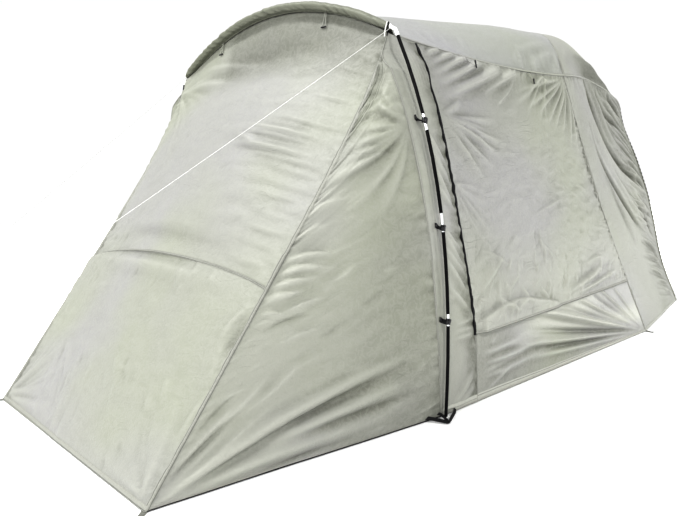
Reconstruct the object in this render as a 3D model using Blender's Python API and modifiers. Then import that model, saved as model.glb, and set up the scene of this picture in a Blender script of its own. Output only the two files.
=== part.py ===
"""Tailgate awning: a one-hoop tent of sage cloth whose rear sleeve slips over the open back of a car.

Metres, +Z up. The zipped front faces -Y and the sleeve's mouth opens at +Y. The hoop stands across X.
The origin is on the ground, in the middle of the ground outline. Sizes below are measured from the
hoop's own plane, and one empty moves the whole awning so that its outline is centred.
A level is a share of the height, from 0 on the ground to 1 at the top edge of a panel.
"""
import math

import bmesh
import bpy
from mathutils import Vector

# Hoop
HOOP_TOP = 2.10
ELBOW_HEIGHT = 1.85
ELBOW_HALF = 0.91
FOOT_HALF = 1.18
LEG_BULGE = 0.40
LEG_BULGE_LOW = 0.23
POLE_RADIUS = 0.008
FERRULE_RADIUS = 0.0068
ELBOW_RADIUS = 0.0085
ELBOW_LOW = 1.795
ELBOW_BENDS = (0.022, 0.05)
ELBOW_BEND_DROP = 0.025
BOW_HALF = 0.823
BOW_DROP = 0.018
FERRULES = ((0.460, 0.517), (0.898, 0.984), (1.359, 1.431))
CLIP_HEIGHTS = (0.480, 0.915, 1.400)
CLIP_WIDTH = 0.016
CLIP_LENGTH = 0.028
FOOT_TAB = (0.09, 0.05)
FOOT_TAB_OUT = 0.02
TAB_THICKNESS = 0.0033
PEG_TAB = (0.05, 0.025)
PEG_TAB_SPLAY = 0.6
PEG_TAB_INSETS = (0.0042, 0.0011)

# Front
CLOTH = 0.004
BAND = 0.003
BAND_SPACE = 0.0008
HEM_LIFT = 0.004
FRONT_REACH = 1.37
FRONT_HALF = 0.83
FRONT_SAG = 0.13
FRONT_SAG_POWER = 5
FRONT_SEAM = 0.4
CORNER_HALF = 0.885
CORNER_HEIGHT = 1.815
CORNER_REACH = 0.012
HEAD_REACH = 0.0185
HEAD_DROP = 0.0478
HEAD_ARCH = 0.3
HEAD_CURL = 8
BROW_SECTION = ((0.018, 0.0468), (-0.016, 0.036), (-0.026, 0.016), (-0.008, 0.001), (0.014, 0.004))

# Side wall
POLE_SPACE = 0.022
TOP_TUCK = 0.03
TOP_TUCK_POWER = 6
STRIP_WIDTH = 0.09
STRIP_FULL_LEVEL = 0.75
TURN_LEVEL = 0.9
GUSSET_TOP_LEVEL = 0.94
APEX_LEVEL = 0.957
ZIP_LOW = 0.26
ZIP_BOW = 0.1
ZIP_BOW_SPAN = 1.3
ZIP_BOW_POWER = 2.5
EAVE_MID_SAG = 0.04
SEAM_TOP_REACH = 1.78
SEAM_TOP_HALF = 0.90
SEAM_TOP_HEIGHT = 1.75
SEAM_HOLLOW = 0.03
REAR_PEG_HALF = 1.40
REAR_PEG_REACH = 2.06
DOOR_SILL = 0.2

# Roof and sleeve
ROOF_START = 0.045
ROOF_FRONT_RISE = 0.262
ROOF_REAR_RISE = 0.382
ROOF_RISE_POWER = 2.9
ROOF_FRONT_POWER = 2.0
ROOF_REAR_POWER = 6.0
ROOF_CROWN_REACH = 0.386
SLEEVE_HUMP = 0.014
SLEEVE_FALL = 3.4
SLEEVE_TAPER = 1.125
MOUTH_REACH = 3.15
MOUTH_LOW_REACH = 3.11
MOUTH_HALF = 0.76
MOUTH_LOW_HALF = 1.28
MOUTH_HEIGHT = 1.62
MOUTH_RISE = 0.07
SIDE_LEAN = 0.3
SIDE_BULGE = 0.13
HEM_RADIUS = 0.007

# Guy ropes
STAKE_REACH = 2.86
STAKE_RADIUS = 0.004
STAKE_HEIGHT = 0.05
ROPE_RADIUS = 0.002
ROPE_SAG = 0.02
ROPE_LIE = 0.006
ROPE_INSET = 0.005
ROPE_DROP = 0.0155

# Fits and resolution
GAP = 0.0003
FOLD_TRIM = 0.0012
FOLD_SPACE = 0.0002
STRIP_COLUMNS = 3
STRIP_TOP_TRIM = 0.004
EAVE_TRIM = 0.003
CROSS_TRIM = 0.001
LEVELS = 10
ACROSS = (-1.0, -0.93, -0.8, -0.64, -0.48, -0.32, -0.16, 0.0, 0.16, 0.32, 0.48, 0.64, 0.8, 0.93, 1.0)
ALONG = (0.0, 0.14, 0.28, 0.42, 0.56, 0.7, 0.85, 1.0)
SIDES = {"right": 1, "left": -1}

SAGE = (0.52, 0.54, 0.47)
SAGE_DARK = (0.30, 0.31, 0.24)
BLACK = (0.02, 0.02, 0.02)
SILVER = (0.75, 0.76, 0.77)
WHITE = (0.85, 0.86, 0.84)


# Materials and scene

def make_material(name, colour, roughness, metallic=0.0):
    material = bpy.data.materials.new(name)
    material.use_nodes = True
    shader = material.node_tree.nodes["Principled BSDF"]
    shader.inputs["Base Color"].default_value = (*colour, 1.0)
    shader.inputs["Roughness"].default_value = roughness
    shader.inputs["Metallic"].default_value = metallic
    return material


def place(obj, colour, roughness=0.8, metallic=0.0):
    """Puts a finished object in the awning, with a material of its own."""
    obj.data.materials.clear()
    obj.data.materials.append(make_material(obj.name, colour, roughness, metallic))
    for owner in list(obj.users_collection):
        owner.objects.unlink(obj)
    awning.objects.link(obj)
    obj.parent = hoop_plane
    return obj


def solidify(obj, thickness):
    modifier = obj.modifiers.new("Thickness", "SOLIDIFY")
    modifier.thickness = thickness
    modifier.offset = -1.0
    modifier.use_even_offset = True


# Curves of the hoop and the cloth

def fractions(start, stop, count):
    return [start + (stop - start) * step / count for step in range(count + 1)]


def leg_half(height):
    """Half the hoop's width at a height: the leg bows out and leans in at the top."""
    share = height / ELBOW_HEIGHT
    bulge = share * (1 - share) * (LEG_BULGE + LEG_BULGE_LOW * share)
    return FOOT_HALF + (ELBOW_HALF - FOOT_HALF) * share + bulge


def bow_height(x):
    """Height of the hoop's top outline over x."""
    return ELBOW_HEIGHT + (HOOP_TOP - ELBOW_HEIGHT) * (1 - (x / ELBOW_HALF) ** 2)


def lifted(height):
    """Keeps a cloth edge that meets the ground just above it."""
    return max(height, HEM_LIFT)


def front_half(level):
    return FRONT_HALF + (CORNER_HALF - FRONT_HALF) * level


def front_point(across, level):
    """The closed front: a sloping sheet from the ground edge up to the bow."""
    x = front_half(level) * across
    top = min(bow_height(x) - HEAD_DROP, CORNER_HEIGHT + HEAD_ARCH * (1 - across * across))
    sag = FRONT_SAG * level * (1 - level ** FRONT_SAG_POWER) * (0.5 + 0.5 * across * across)
    top_reach = HEAD_REACH - (HEAD_REACH + CORNER_REACH) * across ** HEAD_CURL
    y = -FRONT_REACH * (1 - level) + top_reach * level + sag
    return Vector((x, y, lifted(top * level)))


def eave_height(share):
    drop = CORNER_HEIGHT - SEAM_TOP_HEIGHT
    return CORNER_HEIGHT - drop * share - EAVE_MID_SAG * 4 * share * (1 - share)


def seam_reach(level):
    """How far behind the hoop the door's rear seam is."""
    return REAR_PEG_REACH + (SEAM_TOP_REACH - REAR_PEG_REACH) * level


def side_point(y, level):
    """The side wall, from the pole to the rear seam."""
    share = y / seam_reach(level)
    height = eave_height(share) * level
    near = leg_half(height) - POLE_SPACE - TOP_TUCK * level ** TOP_TUCK_POWER
    straight = REAR_PEG_HALF + (SEAM_TOP_HALF - REAR_PEG_HALF) * level
    far = straight - SEAM_HOLLOW * math.sin(math.pi * level)
    return Vector((near + (far - near) * share, y, lifted(height)))


def strip_front(level):
    """How far the seam between the gusset and the strip behind the pole lies from the hoop."""
    rest = 1 - min(1.0, level / STRIP_FULL_LEVEL)
    return -STRIP_WIDTH * (1 - rest * rest)


def turn(level):
    """Near the top the strip leaves the side wall and turns in to the front's own seam."""
    return min(1.0, max(0.0, (level - TURN_LEVEL) / (APEX_LEVEL - TURN_LEVEL)))


def strip_turn(level):
    """The strip's front edge, measured from the side wall."""
    return (front_point(1.0, level) - side_point(strip_front(level), level)) * turn(level)


def zip_reach(level):
    bow = math.sin(math.pi * level / ZIP_BOW_SPAN) ** ZIP_BOW_POWER
    return ZIP_LOW - ZIP_BOW * bow


def strip_point(share, level):
    start = strip_front(level)
    spot = side_point(start + (zip_reach(level) - start) * share, level)
    return spot + strip_turn(level) * (1 - share) ** 2


def gusset_point(share, level):
    """The triangle between the sloping front seam and the strip."""
    return front_point(1.0, level).lerp(strip_point(0.0, level), share)


def wall_point(share, level):
    """The side wall between the zip and the rear seam."""
    start = zip_reach(level)
    return side_point(start + (seam_reach(level) - start) * share, level)


def roof_point(across, along):
    """The arched roof, from the bow to the seam over the car's open tailgate."""
    edge_reach = ROOF_START + (SEAM_TOP_REACH - ROOF_START) * along
    edge = side_point(edge_reach, 1.0)
    rise = ROOF_REAR_RISE + (ROOF_FRONT_RISE - ROOF_REAR_RISE) * (1 - along) ** ROOF_RISE_POWER
    power = ROOF_FRONT_POWER + (ROOF_REAR_POWER - ROOF_FRONT_POWER) * along * along * (3 - 2 * along)
    y = edge_reach + ROOF_CROWN_REACH * (1 - across * across) * along
    return Vector((edge.x * across, y, edge.z + rise * (1 - abs(across) ** power)))


def mouth_point(across):
    return Vector((MOUTH_HALF * across, MOUTH_REACH, MOUTH_HEIGHT + MOUTH_RISE * (1 - across ** 4)))


def sleeve_top_point(across, along):
    """The sleeve's top: level over the tailgate's edge, then down to the car's roof."""
    start = roof_point(across, 1.0)
    end = mouth_point(across)
    hump = SLEEVE_HUMP * math.sin(math.pi * min(1.0, 2.0 * along))
    height = start.z + (end.z - start.z) * along ** SLEEVE_FALL + hump
    width = start.x + (end.x - start.x) * along ** SLEEVE_TAPER
    return Vector((width, start.y + (end.y - start.y) * along, height))


def sleeve_side_point(along, level):
    """The sleeve's side, from the door's rear seam to the mouth."""
    top = sleeve_top_point(1.0, along)
    low_x = REAR_PEG_HALF + (MOUTH_LOW_HALF - REAR_PEG_HALF) * along
    low_y = REAR_PEG_REACH + (MOUTH_LOW_REACH - REAR_PEG_REACH) * along
    lean = (1 - level) ** (1 + SIDE_LEAN * along)
    hollow = SEAM_HOLLOW * math.sin(math.pi * level) * (1 - along)
    bulge = SIDE_BULGE * level * math.sin(math.pi * level) ** 2 * along
    x = top.x + (low_x - top.x) * lean - hollow + bulge
    y = low_y + (top.y - low_y) * level
    return Vector((x, y, lifted(top.z * level)))


# Builders

def mitre(toward, away):
    """How far each of two panels stays back from the fold where they meet."""
    return CLOTH * math.tan(toward.angle(away) / 2) + FOLD_SPACE


def front_trim(level):
    """The trim at the front's side edge, which meets the gusset and, above the apex, the strip."""
    edge = front_point(1.0, level)
    inward = edge - front_point(ACROSS[-2], level)
    behind = strip_point(1.0 / STRIP_COLUMNS, level) if turn(level) == 1.0 else strip_point(0.0, level)
    return mitre(inward, behind - edge)


def strip_trim(level):
    """The trim along the seam between the gusset and the strip."""
    if turn(level) == 1.0:
        return front_trim(level)
    edge = strip_point(0.0, level)
    return mitre(edge - front_point(1.0, level), strip_point(1.0 / STRIP_COLUMNS, level) - edge)


def cloth(name, columns, rows, point, trims, side=1, colour=SAGE, thickness=CLOTH):
    """A sheet over columns x rows of point(u, v), drawn in at its low-u, high-u, low-v, high-v borders.

    The trims at the u borders are lengths, or functions of v.
    """
    grid = [[point(u, v) for u in columns] for v in rows]
    low_u, high_u, low_v, high_v = trims
    for v, line in zip(rows, grid):
        low = low_u(v) if callable(low_u) else low_u
        high = high_u(v) if callable(high_u) else high_u
        line[0] = line[0] + (line[1] - line[0]).normalized() * low
        line[-1] = line[-1] + (line[-2] - line[-1]).normalized() * high
    for column in range(len(columns)):
        bottom = (grid[1][column] - grid[0][column]).normalized()
        top = (grid[-2][column] - grid[-1][column]).normalized()
        grid[0][column] = grid[0][column] + bottom * low_v
        grid[-1][column] = grid[-1][column] + top * high_v
    mesh = bpy.data.meshes.new(name)
    bm = bmesh.new()
    bmesh.ops.create_grid(bm, x_segments=len(columns) - 1, y_segments=len(rows) - 1, size=1.0)
    for vert in bm.verts:
        column = round((vert.co.x + 1) / 2 * (len(columns) - 1))
        row = round((vert.co.y + 1) / 2 * (len(rows) - 1))
        spot = grid[row][column]
        vert.co = (spot.x * side, spot.y, spot.z)
    if side < 0:
        bmesh.ops.reverse_faces(bm, faces=bm.faces)
    bm.to_mesh(mesh)
    bm.free()
    obj = bpy.data.objects.new(name, mesh)
    solidify(obj, thickness)
    return place(obj, colour)


def tube(name, points, radius, colour, roughness=0.4, metallic=0.0):
    """A round bar along points, closed at both ends."""
    curve = bpy.data.curves.new(name, "CURVE")
    curve.dimensions = "3D"
    curve.bevel_depth = radius
    curve.bevel_resolution = 2
    curve.use_fill_caps = True
    spline = curve.splines.new("POLY")
    spline.points.add(len(points) - 1)
    for spot, target in zip(points, spline.points):
        target.co = (*spot, 1.0)
    obj = bpy.data.objects.new(name, curve)
    return place(obj, colour, roughness, metallic)


def block(name, size, location, colour, yaw=0.0, tilt=0.0):
    bpy.ops.mesh.primitive_cube_add(size=1.0, location=location, rotation=(0.0, tilt, yaw))
    obj = bpy.context.object
    obj.name = name
    obj.data.name = name
    for vert in obj.data.vertices:
        vert.co = [value * length for value, length in zip(vert.co, size)]
    return place(obj, colour, 0.5)


# Poles

def leg_spots(side, low, high, count):
    return [Vector((side * leg_half(z), 0.0, z)) for z in fractions(low, high, count)]


def bow_spot(x):
    return Vector((x, 0.0, bow_height(x) - BOW_DROP))


def build_bow():
    """The black bow inside its sleeve of cloth."""
    outermost = ACROSS[-2]
    tube("bow_pole", [bow_spot(BOW_HALF * x / outermost) for x in ACROSS[1:-1]], POLE_RADIUS, BLACK)


def build_leg(label, side):
    """Four black pole sections, joined by bright ferrules."""
    low = TAB_THICKNESS + 3 * GAP
    for number, (ferrule_low, ferrule_high) in enumerate(FERRULES, start=1):
        tube(f"{label}_pole_section_{number}", leg_spots(side, low, ferrule_low - GAP, 3), POLE_RADIUS, BLACK)
        tube(f"{label}_ferrule_{number}", leg_spots(side, ferrule_low, ferrule_high, 1),
             FERRULE_RADIUS, SILVER, 0.3, 1.0)
        low = ferrule_high + GAP
    tube(f"{label}_pole_section_4", leg_spots(side, low, ELBOW_LOW - GAP, 3), POLE_RADIUS, BLACK)


def build_elbow(label, side):
    """The bright angled joint between a leg and the bow."""
    spots = leg_spots(side, ELBOW_LOW, ELBOW_HEIGHT - ELBOW_BEND_DROP, 2)
    spots += [bow_spot(side * (ELBOW_HALF - inset)) for inset in ELBOW_BENDS]
    spots.append(bow_spot(side * (BOW_HALF + GAP)))
    tube(f"{label}_elbow", spots, ELBOW_RADIUS, SILVER, 0.3, 1.0)


def build_foot(label, side):
    """A webbing tab under the pole's tip, with room for a ground peg outside it."""
    block(f"{label}_pole_foot_tab", (*FOOT_TAB, TAB_THICKNESS),
          (side * (FOOT_HALF + FOOT_TAB_OUT), 0.0, TAB_THICKNESS / 2), BLACK)


def strip_half(height):
    """Half the width between the flat facets of cloth behind the two poles."""
    row = math.floor(height / CORNER_HEIGHT * LEVELS)
    below = side_point(0.0, row / LEVELS)
    above = side_point(0.0, (row + 1) / LEVELS)
    return below.x + (above.x - below.x) * (height - below.z) / (above.z - below.z)


def build_clips(label, side):
    """Clips that hold the cloth to the pole: each has a shank that reaches from cloth to pole."""
    for number, height in enumerate(CLIP_HEIGHTS, start=1):
        outer = leg_half(height) - POLE_RADIUS - GAP
        inner = strip_half(height) + 2 * GAP
        reach = CLIP_WIDTH / 2
        lean = math.atan2(strip_half(height + reach) - strip_half(height - reach), CLIP_WIDTH)
        block(f"{label}_clip_{number}", ((outer - inner) * math.cos(lean), CLIP_WIDTH, CLIP_LENGTH),
              (side * (outer + inner) / 2, 0.0, height), BLACK, tilt=side * lean)


# Cloth

def brow_point(across, round_bow):
    """The band round the bow, from the head of the front, over the pole, to the roof's edge."""
    x = CORNER_HALF * across
    if round_bow == len(BROW_SECTION):
        return roof_point(across, 0.0) - Vector((0.0, BAND_SPACE, 0.0))
    behind, drop = BROW_SECTION[round_bow]
    return Vector((x, behind, bow_height(x) - drop))


def build_brow():
    cloth("bow_sleeve", ACROSS[1:-1], range(len(BROW_SECTION) + 1), brow_point, (0.0, 0.0, 0.0, 0.0),
          colour=SAGE_DARK, thickness=BAND)


def panel_levels():
    """Rows up to where the strip turns in to the front seam."""
    return fractions(0.0, TURN_LEVEL, LEVELS - 1)


def strip_levels():
    return panel_levels() + [GUSSET_TOP_LEVEL, APEX_LEVEL, 1.0]


def build_front():
    """The closed front, in two sheets that meet at a cross seam."""
    levels = strip_levels()
    split = round(FRONT_SEAM * LEVELS)
    seam = GAP / 2
    cloth("front_lower_panel", ACROSS, levels[:split + 1], front_point, (front_trim, front_trim, 0.0, seam))
    cloth("front_upper_panel", ACROSS, levels[split:], front_point, (front_trim, front_trim, seam, 0.0))


def build_side(label, side):
    levels = fractions(0.0, 1.0, LEVELS)
    split = round(DOOR_SILL * LEVELS)
    cloth(f"{label}_front_gusset", fractions(0.0, 1.0, 4), panel_levels() + [GUSSET_TOP_LEVEL], gusset_point,
          (front_trim, strip_trim, 0.0, 0.0), side)
    cloth(f"{label}_pole_strip", fractions(0.0, 1.0, STRIP_COLUMNS), strip_levels(), strip_point,
          (strip_trim, GAP, 0.0, STRIP_TOP_TRIM), side)
    cloth(f"{label}_side_door", ALONG, levels[split:], wall_point, (GAP, FOLD_TRIM, GAP, EAVE_TRIM), side)
    cloth(f"{label}_skirt", ALONG, levels[:split + 1], wall_point, (GAP, FOLD_TRIM, 0.0, GAP), side)
    cloth(f"{label}_sleeve_side", ALONG, levels, sleeve_side_point, (FOLD_TRIM, 0.0, 0.0, EAVE_TRIM), side)


def build_roof():
    cloth("roof", ACROSS, ALONG, roof_point, (FOLD_TRIM, FOLD_TRIM, 0.0, CROSS_TRIM))
    cloth("sleeve_top", ACROSS, ALONG, sleeve_top_point, (FOLD_TRIM, FOLD_TRIM, CROSS_TRIM, 0.0))


def top_hem_spot(across):
    """The middle of the hem where it continues the slope of the sleeve's top."""
    edge = mouth_point(across)
    slope = (edge - sleeve_top_point(across, ALONG[-2])).normalized()
    return edge + slope * (HEM_RADIUS + GAP)


def build_mouth_hem():
    """The elastic edge round the sleeve's mouth."""
    levels = fractions(0.0, 1.0, LEVELS)
    out = Vector((0.0, HEM_RADIUS + GAP, -CLOTH / 2))
    right = [sleeve_side_point(1.0, level) + out for level in levels]
    right[0].z = HEM_RADIUS
    over = [top_hem_spot(across) for across in reversed(ACROSS[1:-1])]
    left = [Vector((-spot.x, spot.y, spot.z)) for spot in reversed(right)]
    tube("mouth_elastic_hem", right + over + left, HEM_RADIUS, SAGE_DARK, 0.8)


def build_peg_tab(name, corner, heading):
    """A webbing tab that starts at a hem's corner and runs out along a heading."""
    length, width = PEG_TAB
    way = Vector((math.cos(heading), math.sin(heading), 0.0))
    middle = Vector((*corner, TAB_THICKNESS / 2)) + way * length / 2
    block(name, (length, width, TAB_THICKNESS), middle, SAGE_DARK, yaw=heading)


def build_peg_tabs(label, side):
    """Tabs for pegs at the front corners and the rear corners of the skirt."""
    front_inset, rear_inset = PEG_TAB_INSETS
    build_peg_tab(f"{label}_front_peg_tab", (side * (FRONT_HALF - front_inset), -FRONT_REACH),
                  -math.pi / 2 + side * PEG_TAB_SPLAY)
    build_peg_tab(f"{label}_rear_peg_tab", (side * (REAR_PEG_HALF - rear_inset), REAR_PEG_REACH),
                  math.pi / 2 - side * math.pi / 2)


# Guy ropes

def build_guy(label, side):
    """A taut rope from the elbow to the stake in front, with a little sag."""
    start = Vector((side * (ELBOW_HALF - ROPE_INSET), -ELBOW_RADIUS - ROPE_RADIUS / 2 - GAP,
                    ELBOW_HEIGHT - ROPE_DROP))
    end = Vector((side * (STAKE_RADIUS + ROPE_RADIUS + GAP), -STAKE_REACH, ROPE_LIE + ROPE_LIE * (side > 0)))
    spots = []
    for share in fractions(0.0, 1.0, 12):
        spot = start.lerp(end, share)
        spot.z = max(spot.z - ROPE_SAG * 4 * share * (1 - share), ROPE_RADIUS)
        spots.append(spot)
    tube(f"{label}_guy_rope", spots, ROPE_RADIUS, WHITE, 0.7)


def build_stake():
    bpy.ops.mesh.primitive_cylinder_add(vertices=12, radius=STAKE_RADIUS, depth=STAKE_HEIGHT,
                                        location=(0.0, -STAKE_REACH, STAKE_HEIGHT / 2))
    obj = bpy.context.object
    obj.name = "guy_stake"
    place(obj, SILVER, 0.3, 1.0)


for old in list(bpy.data.objects):
    bpy.data.objects.remove(old, do_unlink=True)

awning = bpy.data.collections.new("tailgate_awning")
bpy.context.scene.collection.children.link(awning)
hoop_plane = bpy.data.objects.new("hoop_plane", None)
hoop_plane.location = (0.0, (STAKE_REACH + STAKE_RADIUS - MOUTH_REACH - 2 * HEM_RADIUS - GAP) / 2, 0.0)
awning.objects.link(hoop_plane)

build_bow()
build_brow()
build_front()
build_roof()
build_mouth_hem()
build_stake()
for side_label, side_sign in SIDES.items():
    build_leg(side_label, side_sign)
    build_elbow(side_label, side_sign)
    build_foot(side_label, side_sign)
    build_clips(side_label, side_sign)
    build_side(side_label, side_sign)
    build_peg_tabs(side_label, side_sign)
    build_guy(side_label, side_sign)
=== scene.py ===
"""Looks of the tailgate awning: pitched cloth panels with their folds, seams, zips and fittings.

Metres, +Z up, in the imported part's frame. A panel point is a pair of shares (u, v) of a panel, such as
(across, level) on the front. Curves of the cloth are those of the part, measured from the hoop's plane.
"""
import math

import bpy
import numpy as np
from mathutils import Matrix, Vector


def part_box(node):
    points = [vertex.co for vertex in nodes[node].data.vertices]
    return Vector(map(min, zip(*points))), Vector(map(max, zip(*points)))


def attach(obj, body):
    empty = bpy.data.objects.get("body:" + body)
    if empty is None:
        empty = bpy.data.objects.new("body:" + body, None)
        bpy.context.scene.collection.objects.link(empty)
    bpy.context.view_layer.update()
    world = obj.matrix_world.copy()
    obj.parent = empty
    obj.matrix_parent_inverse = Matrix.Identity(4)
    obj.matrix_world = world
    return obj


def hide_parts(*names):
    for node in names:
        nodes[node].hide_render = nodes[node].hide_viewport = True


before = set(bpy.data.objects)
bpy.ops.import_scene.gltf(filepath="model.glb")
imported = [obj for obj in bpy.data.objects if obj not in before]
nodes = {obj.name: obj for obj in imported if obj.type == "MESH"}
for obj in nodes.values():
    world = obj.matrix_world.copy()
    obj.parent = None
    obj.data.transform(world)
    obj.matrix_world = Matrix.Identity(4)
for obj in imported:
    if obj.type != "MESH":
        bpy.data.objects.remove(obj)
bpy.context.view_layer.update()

# Sizes of the part and its fittings
HOOP_TOP = 2.10
ELBOW_HEIGHT = 1.85
ELBOW_HALF = 0.91
FOOT_HALF = 1.18
LEG_BULGE = 0.40
LEG_BULGE_LOW = 0.23
POLE_RADIUS = 0.008
ELBOW_RADIUS = 0.0085
BOW_DROP = 0.018
CLIP_HEIGHTS = (0.480, 0.915, 1.400)
HEM_LIFT = 0.004
FRONT_REACH = 1.37
FRONT_HALF = 0.83
FRONT_SAG = 0.13
FRONT_SAG_POWER = 5
FRONT_SEAM = 0.4
CORNER_HALF = 0.885
CORNER_HEIGHT = 1.815
CORNER_REACH = 0.012
HEAD_REACH = 0.0185
HEAD_DROP = 0.0478
HEAD_ARCH = 0.3
HEAD_CURL = 8
BROW_SECTION = ((0.018, 0.0468), (-0.016, 0.036), (-0.026, 0.016), (-0.008, 0.001), (0.014, 0.004))
BROW_TAPER = 0.4
BROW_TAPER_START = 0.93
POLE_SPACE = 0.022
TOP_TUCK = 0.03
TOP_TUCK_POWER = 6
STRIP_WIDTH = 0.09
STRIP_FULL_LEVEL = 0.75
TURN_LEVEL = 0.9
APEX_LEVEL = 0.957
ZIP_LOW = 0.26
ZIP_BOW = 0.1
ZIP_BOW_SPAN = 1.3
ZIP_BOW_POWER = 2.5
ZIP_TUCK = 0.03
ZIP_TUCK_LEVEL = 0.93
ZIP_TUCK_RUN = 0.05
ZIP_SWAY = 0.014
ZIP_SWAY_LEVEL = 0.875
ZIP_SWAY_RUN = 0.03
EAVE_MID_SAG = 0.04
SEAM_TOP_REACH = 1.78
SEAM_TOP_HALF = 0.90
SEAM_TOP_HEIGHT = 1.75
SEAM_HOLLOW = 0.03
REAR_PEG_HALF = 1.40
REAR_PEG_REACH = 2.06
DOOR_SILL = 0.2
SILL_OVERLAP = 0.035
SILL_TUCK = 0.007
SILL_TUCK_START = 0.010
SILL_TUCK_RUN = 0.012
ROOF_START = 0.045
ROOF_FRONT_RISE = 0.262
ROOF_REAR_RISE = 0.382
ROOF_RISE_POWER = 2.9
ROOF_FRONT_POWER = 2.0
ROOF_REAR_POWER = 6.0
ROOF_CROWN_REACH = 0.386
SLEEVE_HUMP = 0.014
SLEEVE_FALL = 3.4
SLEEVE_TAPER = 1.125
MOUTH_REACH = 3.15
MOUTH_LOW_REACH = 3.11
MOUTH_HALF = 0.76
MOUTH_LOW_HALF = 1.28
MOUTH_HEIGHT = 1.62
MOUTH_RISE = 0.07
MOUTH_RISE_POWER = 4
SIDE_LEAN = 0.3
SIDE_BULGE = 0.13
HEM_RADIUS = 0.007
STAKE_REACH = 2.86
STAKE_RADIUS = 0.004
ROPE_RADIUS = 0.002
ROPE_GIRTH = 0.0011
ROPE_SAG = 0.02
ROPE_LIE = 0.006
ROPE_INSET = 0.005
ROPE_DROP = 0.0155
LOOP_LEVELS = (0.44, 0.49, 0.54, 0.60, 0.655, 0.70, 0.76, 0.82, 0.89)
LOOP_LENGTH = 0.02
EYELET_RADIUS = 0.0062
HOOK_THICKNESS = 0.0026
TOGGLE_REACHES = (0.545, 1.27)
GAP = 0.0003

low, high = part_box("bow_pole")
HOOP_Y = (low.y + high.y) / 2
SIDES = {"right": 1, "left": -1}
MIDDLE = np.array([0.0, HOOP_Y + 0.9, 0.7])

# Cloth
CLOTH_THICKNESS = 0.0012
GATHER_PITCH = 0.017
ELASTIC_RADIUS = 0.0035
NEAR_PITCH = 0.0070
DOOR_PITCH = 0.0079
SKIRT_PITCH = 0.0080
FAR_PITCH = 0.018
TOP_PITCH = 0.0175
SLEEVE_PITCH = 0.0090
FRONT_PITCH = 0.0118
BROW_PITCH = 0.0060
EDGE_HOLD = 0.016
EDGE_PLAY = 0.0035
FOLD_DEPTH = 1.4
GUSSET_DEPTH = {1: 1.4, -1: 0.5}
HOLLOW_REACH = 0.028
HOLLOW_DEPTH = 0.008
NOISE_CELLS = 64
WHOLE_PANEL = 9.0
SHARP_REACH = 5
SOFT_REACH = 2.5
SEAM_WIDTH = 0.016
FRONT_SEAM_WIDTH = 0.024
HEM_WIDTH = 0.026
PIPING_RADIUS = 0.0048
PIPING_INSET = 0.001
PIPING_LIFT = 0.0045
SEAM_PITCH = 0.009
SEAM_LIFT = 0.0022
SEAM_ROOT = -0.0006


# Curves of the cloth

def place(x, y, z):
    return np.stack(np.broadcast_arrays(x, y, z), axis=-1)


def leg_half(height):
    share = height / ELBOW_HEIGHT
    bulge = share * (1 - share) * (LEG_BULGE + LEG_BULGE_LOW * share)
    return FOOT_HALF + (ELBOW_HALF - FOOT_HALF) * share + bulge


def bow_height(x):
    return ELBOW_HEIGHT + (HOOP_TOP - ELBOW_HEIGHT) * (1 - (x / ELBOW_HALF) ** 2)


def front_point(across, level):
    x = (FRONT_HALF + (CORNER_HALF - FRONT_HALF) * level) * across
    top = np.minimum(bow_height(x) - HEAD_DROP, CORNER_HEIGHT + HEAD_ARCH * (1 - across ** 2))
    sag = FRONT_SAG * level * (1 - level ** FRONT_SAG_POWER) * (0.5 + 0.5 * across ** 2)
    top_reach = HEAD_REACH - (HEAD_REACH + CORNER_REACH) * across ** HEAD_CURL
    return place(x, -FRONT_REACH * (1 - level) + top_reach * level + sag, np.maximum(top * level, HEM_LIFT))


def eave_height(share):
    return CORNER_HEIGHT - (CORNER_HEIGHT - SEAM_TOP_HEIGHT) * share - EAVE_MID_SAG * 4 * share * (1 - share)


def seam_reach(level):
    return REAR_PEG_REACH + (SEAM_TOP_REACH - REAR_PEG_REACH) * level


def side_point(y, level):
    share = y / seam_reach(level)
    height = eave_height(share) * level
    near = leg_half(height) - POLE_SPACE - TOP_TUCK * level ** TOP_TUCK_POWER
    far = REAR_PEG_HALF + (SEAM_TOP_HALF - REAR_PEG_HALF) * level - SEAM_HOLLOW * np.sin(np.pi * level)
    return place(near + (far - near) * share, y, np.maximum(height, HEM_LIFT))


def strip_front(level):
    rest = 1 - np.minimum(1.0, level / STRIP_FULL_LEVEL)
    return -STRIP_WIDTH * (1 - rest ** 2)


def zip_reach(level):
    bow = ZIP_BOW * np.maximum(np.sin(np.pi * level / ZIP_BOW_SPAN), 0.0) ** ZIP_BOW_POWER
    tuck = ZIP_TUCK * np.clip((level - ZIP_TUCK_LEVEL) / ZIP_TUCK_RUN, 0.0, 1.0)
    sway = ZIP_SWAY * np.exp(-((level - ZIP_SWAY_LEVEL) / ZIP_SWAY_RUN) ** 2)
    return ZIP_LOW - bow - tuck - sway


def strip_point(share, level):
    start = strip_front(level)
    spot = side_point(start + (zip_reach(level) - start) * share, level)
    turn = np.clip((level - TURN_LEVEL) / (APEX_LEVEL - TURN_LEVEL), 0.0, 1.0)
    shift = front_point(np.ones_like(level), level) - side_point(start, level)
    return spot + shift * (turn * (1 - share) ** 2)[..., None]


def gusset_point(share, level):
    start = front_point(np.ones_like(level), level)
    return start + (strip_point(np.zeros_like(level), level) - start) * np.asarray(share)[..., None]


def wall_point(share, level):
    start = zip_reach(level)
    return side_point(start + (seam_reach(level) - start) * share, level)


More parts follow.
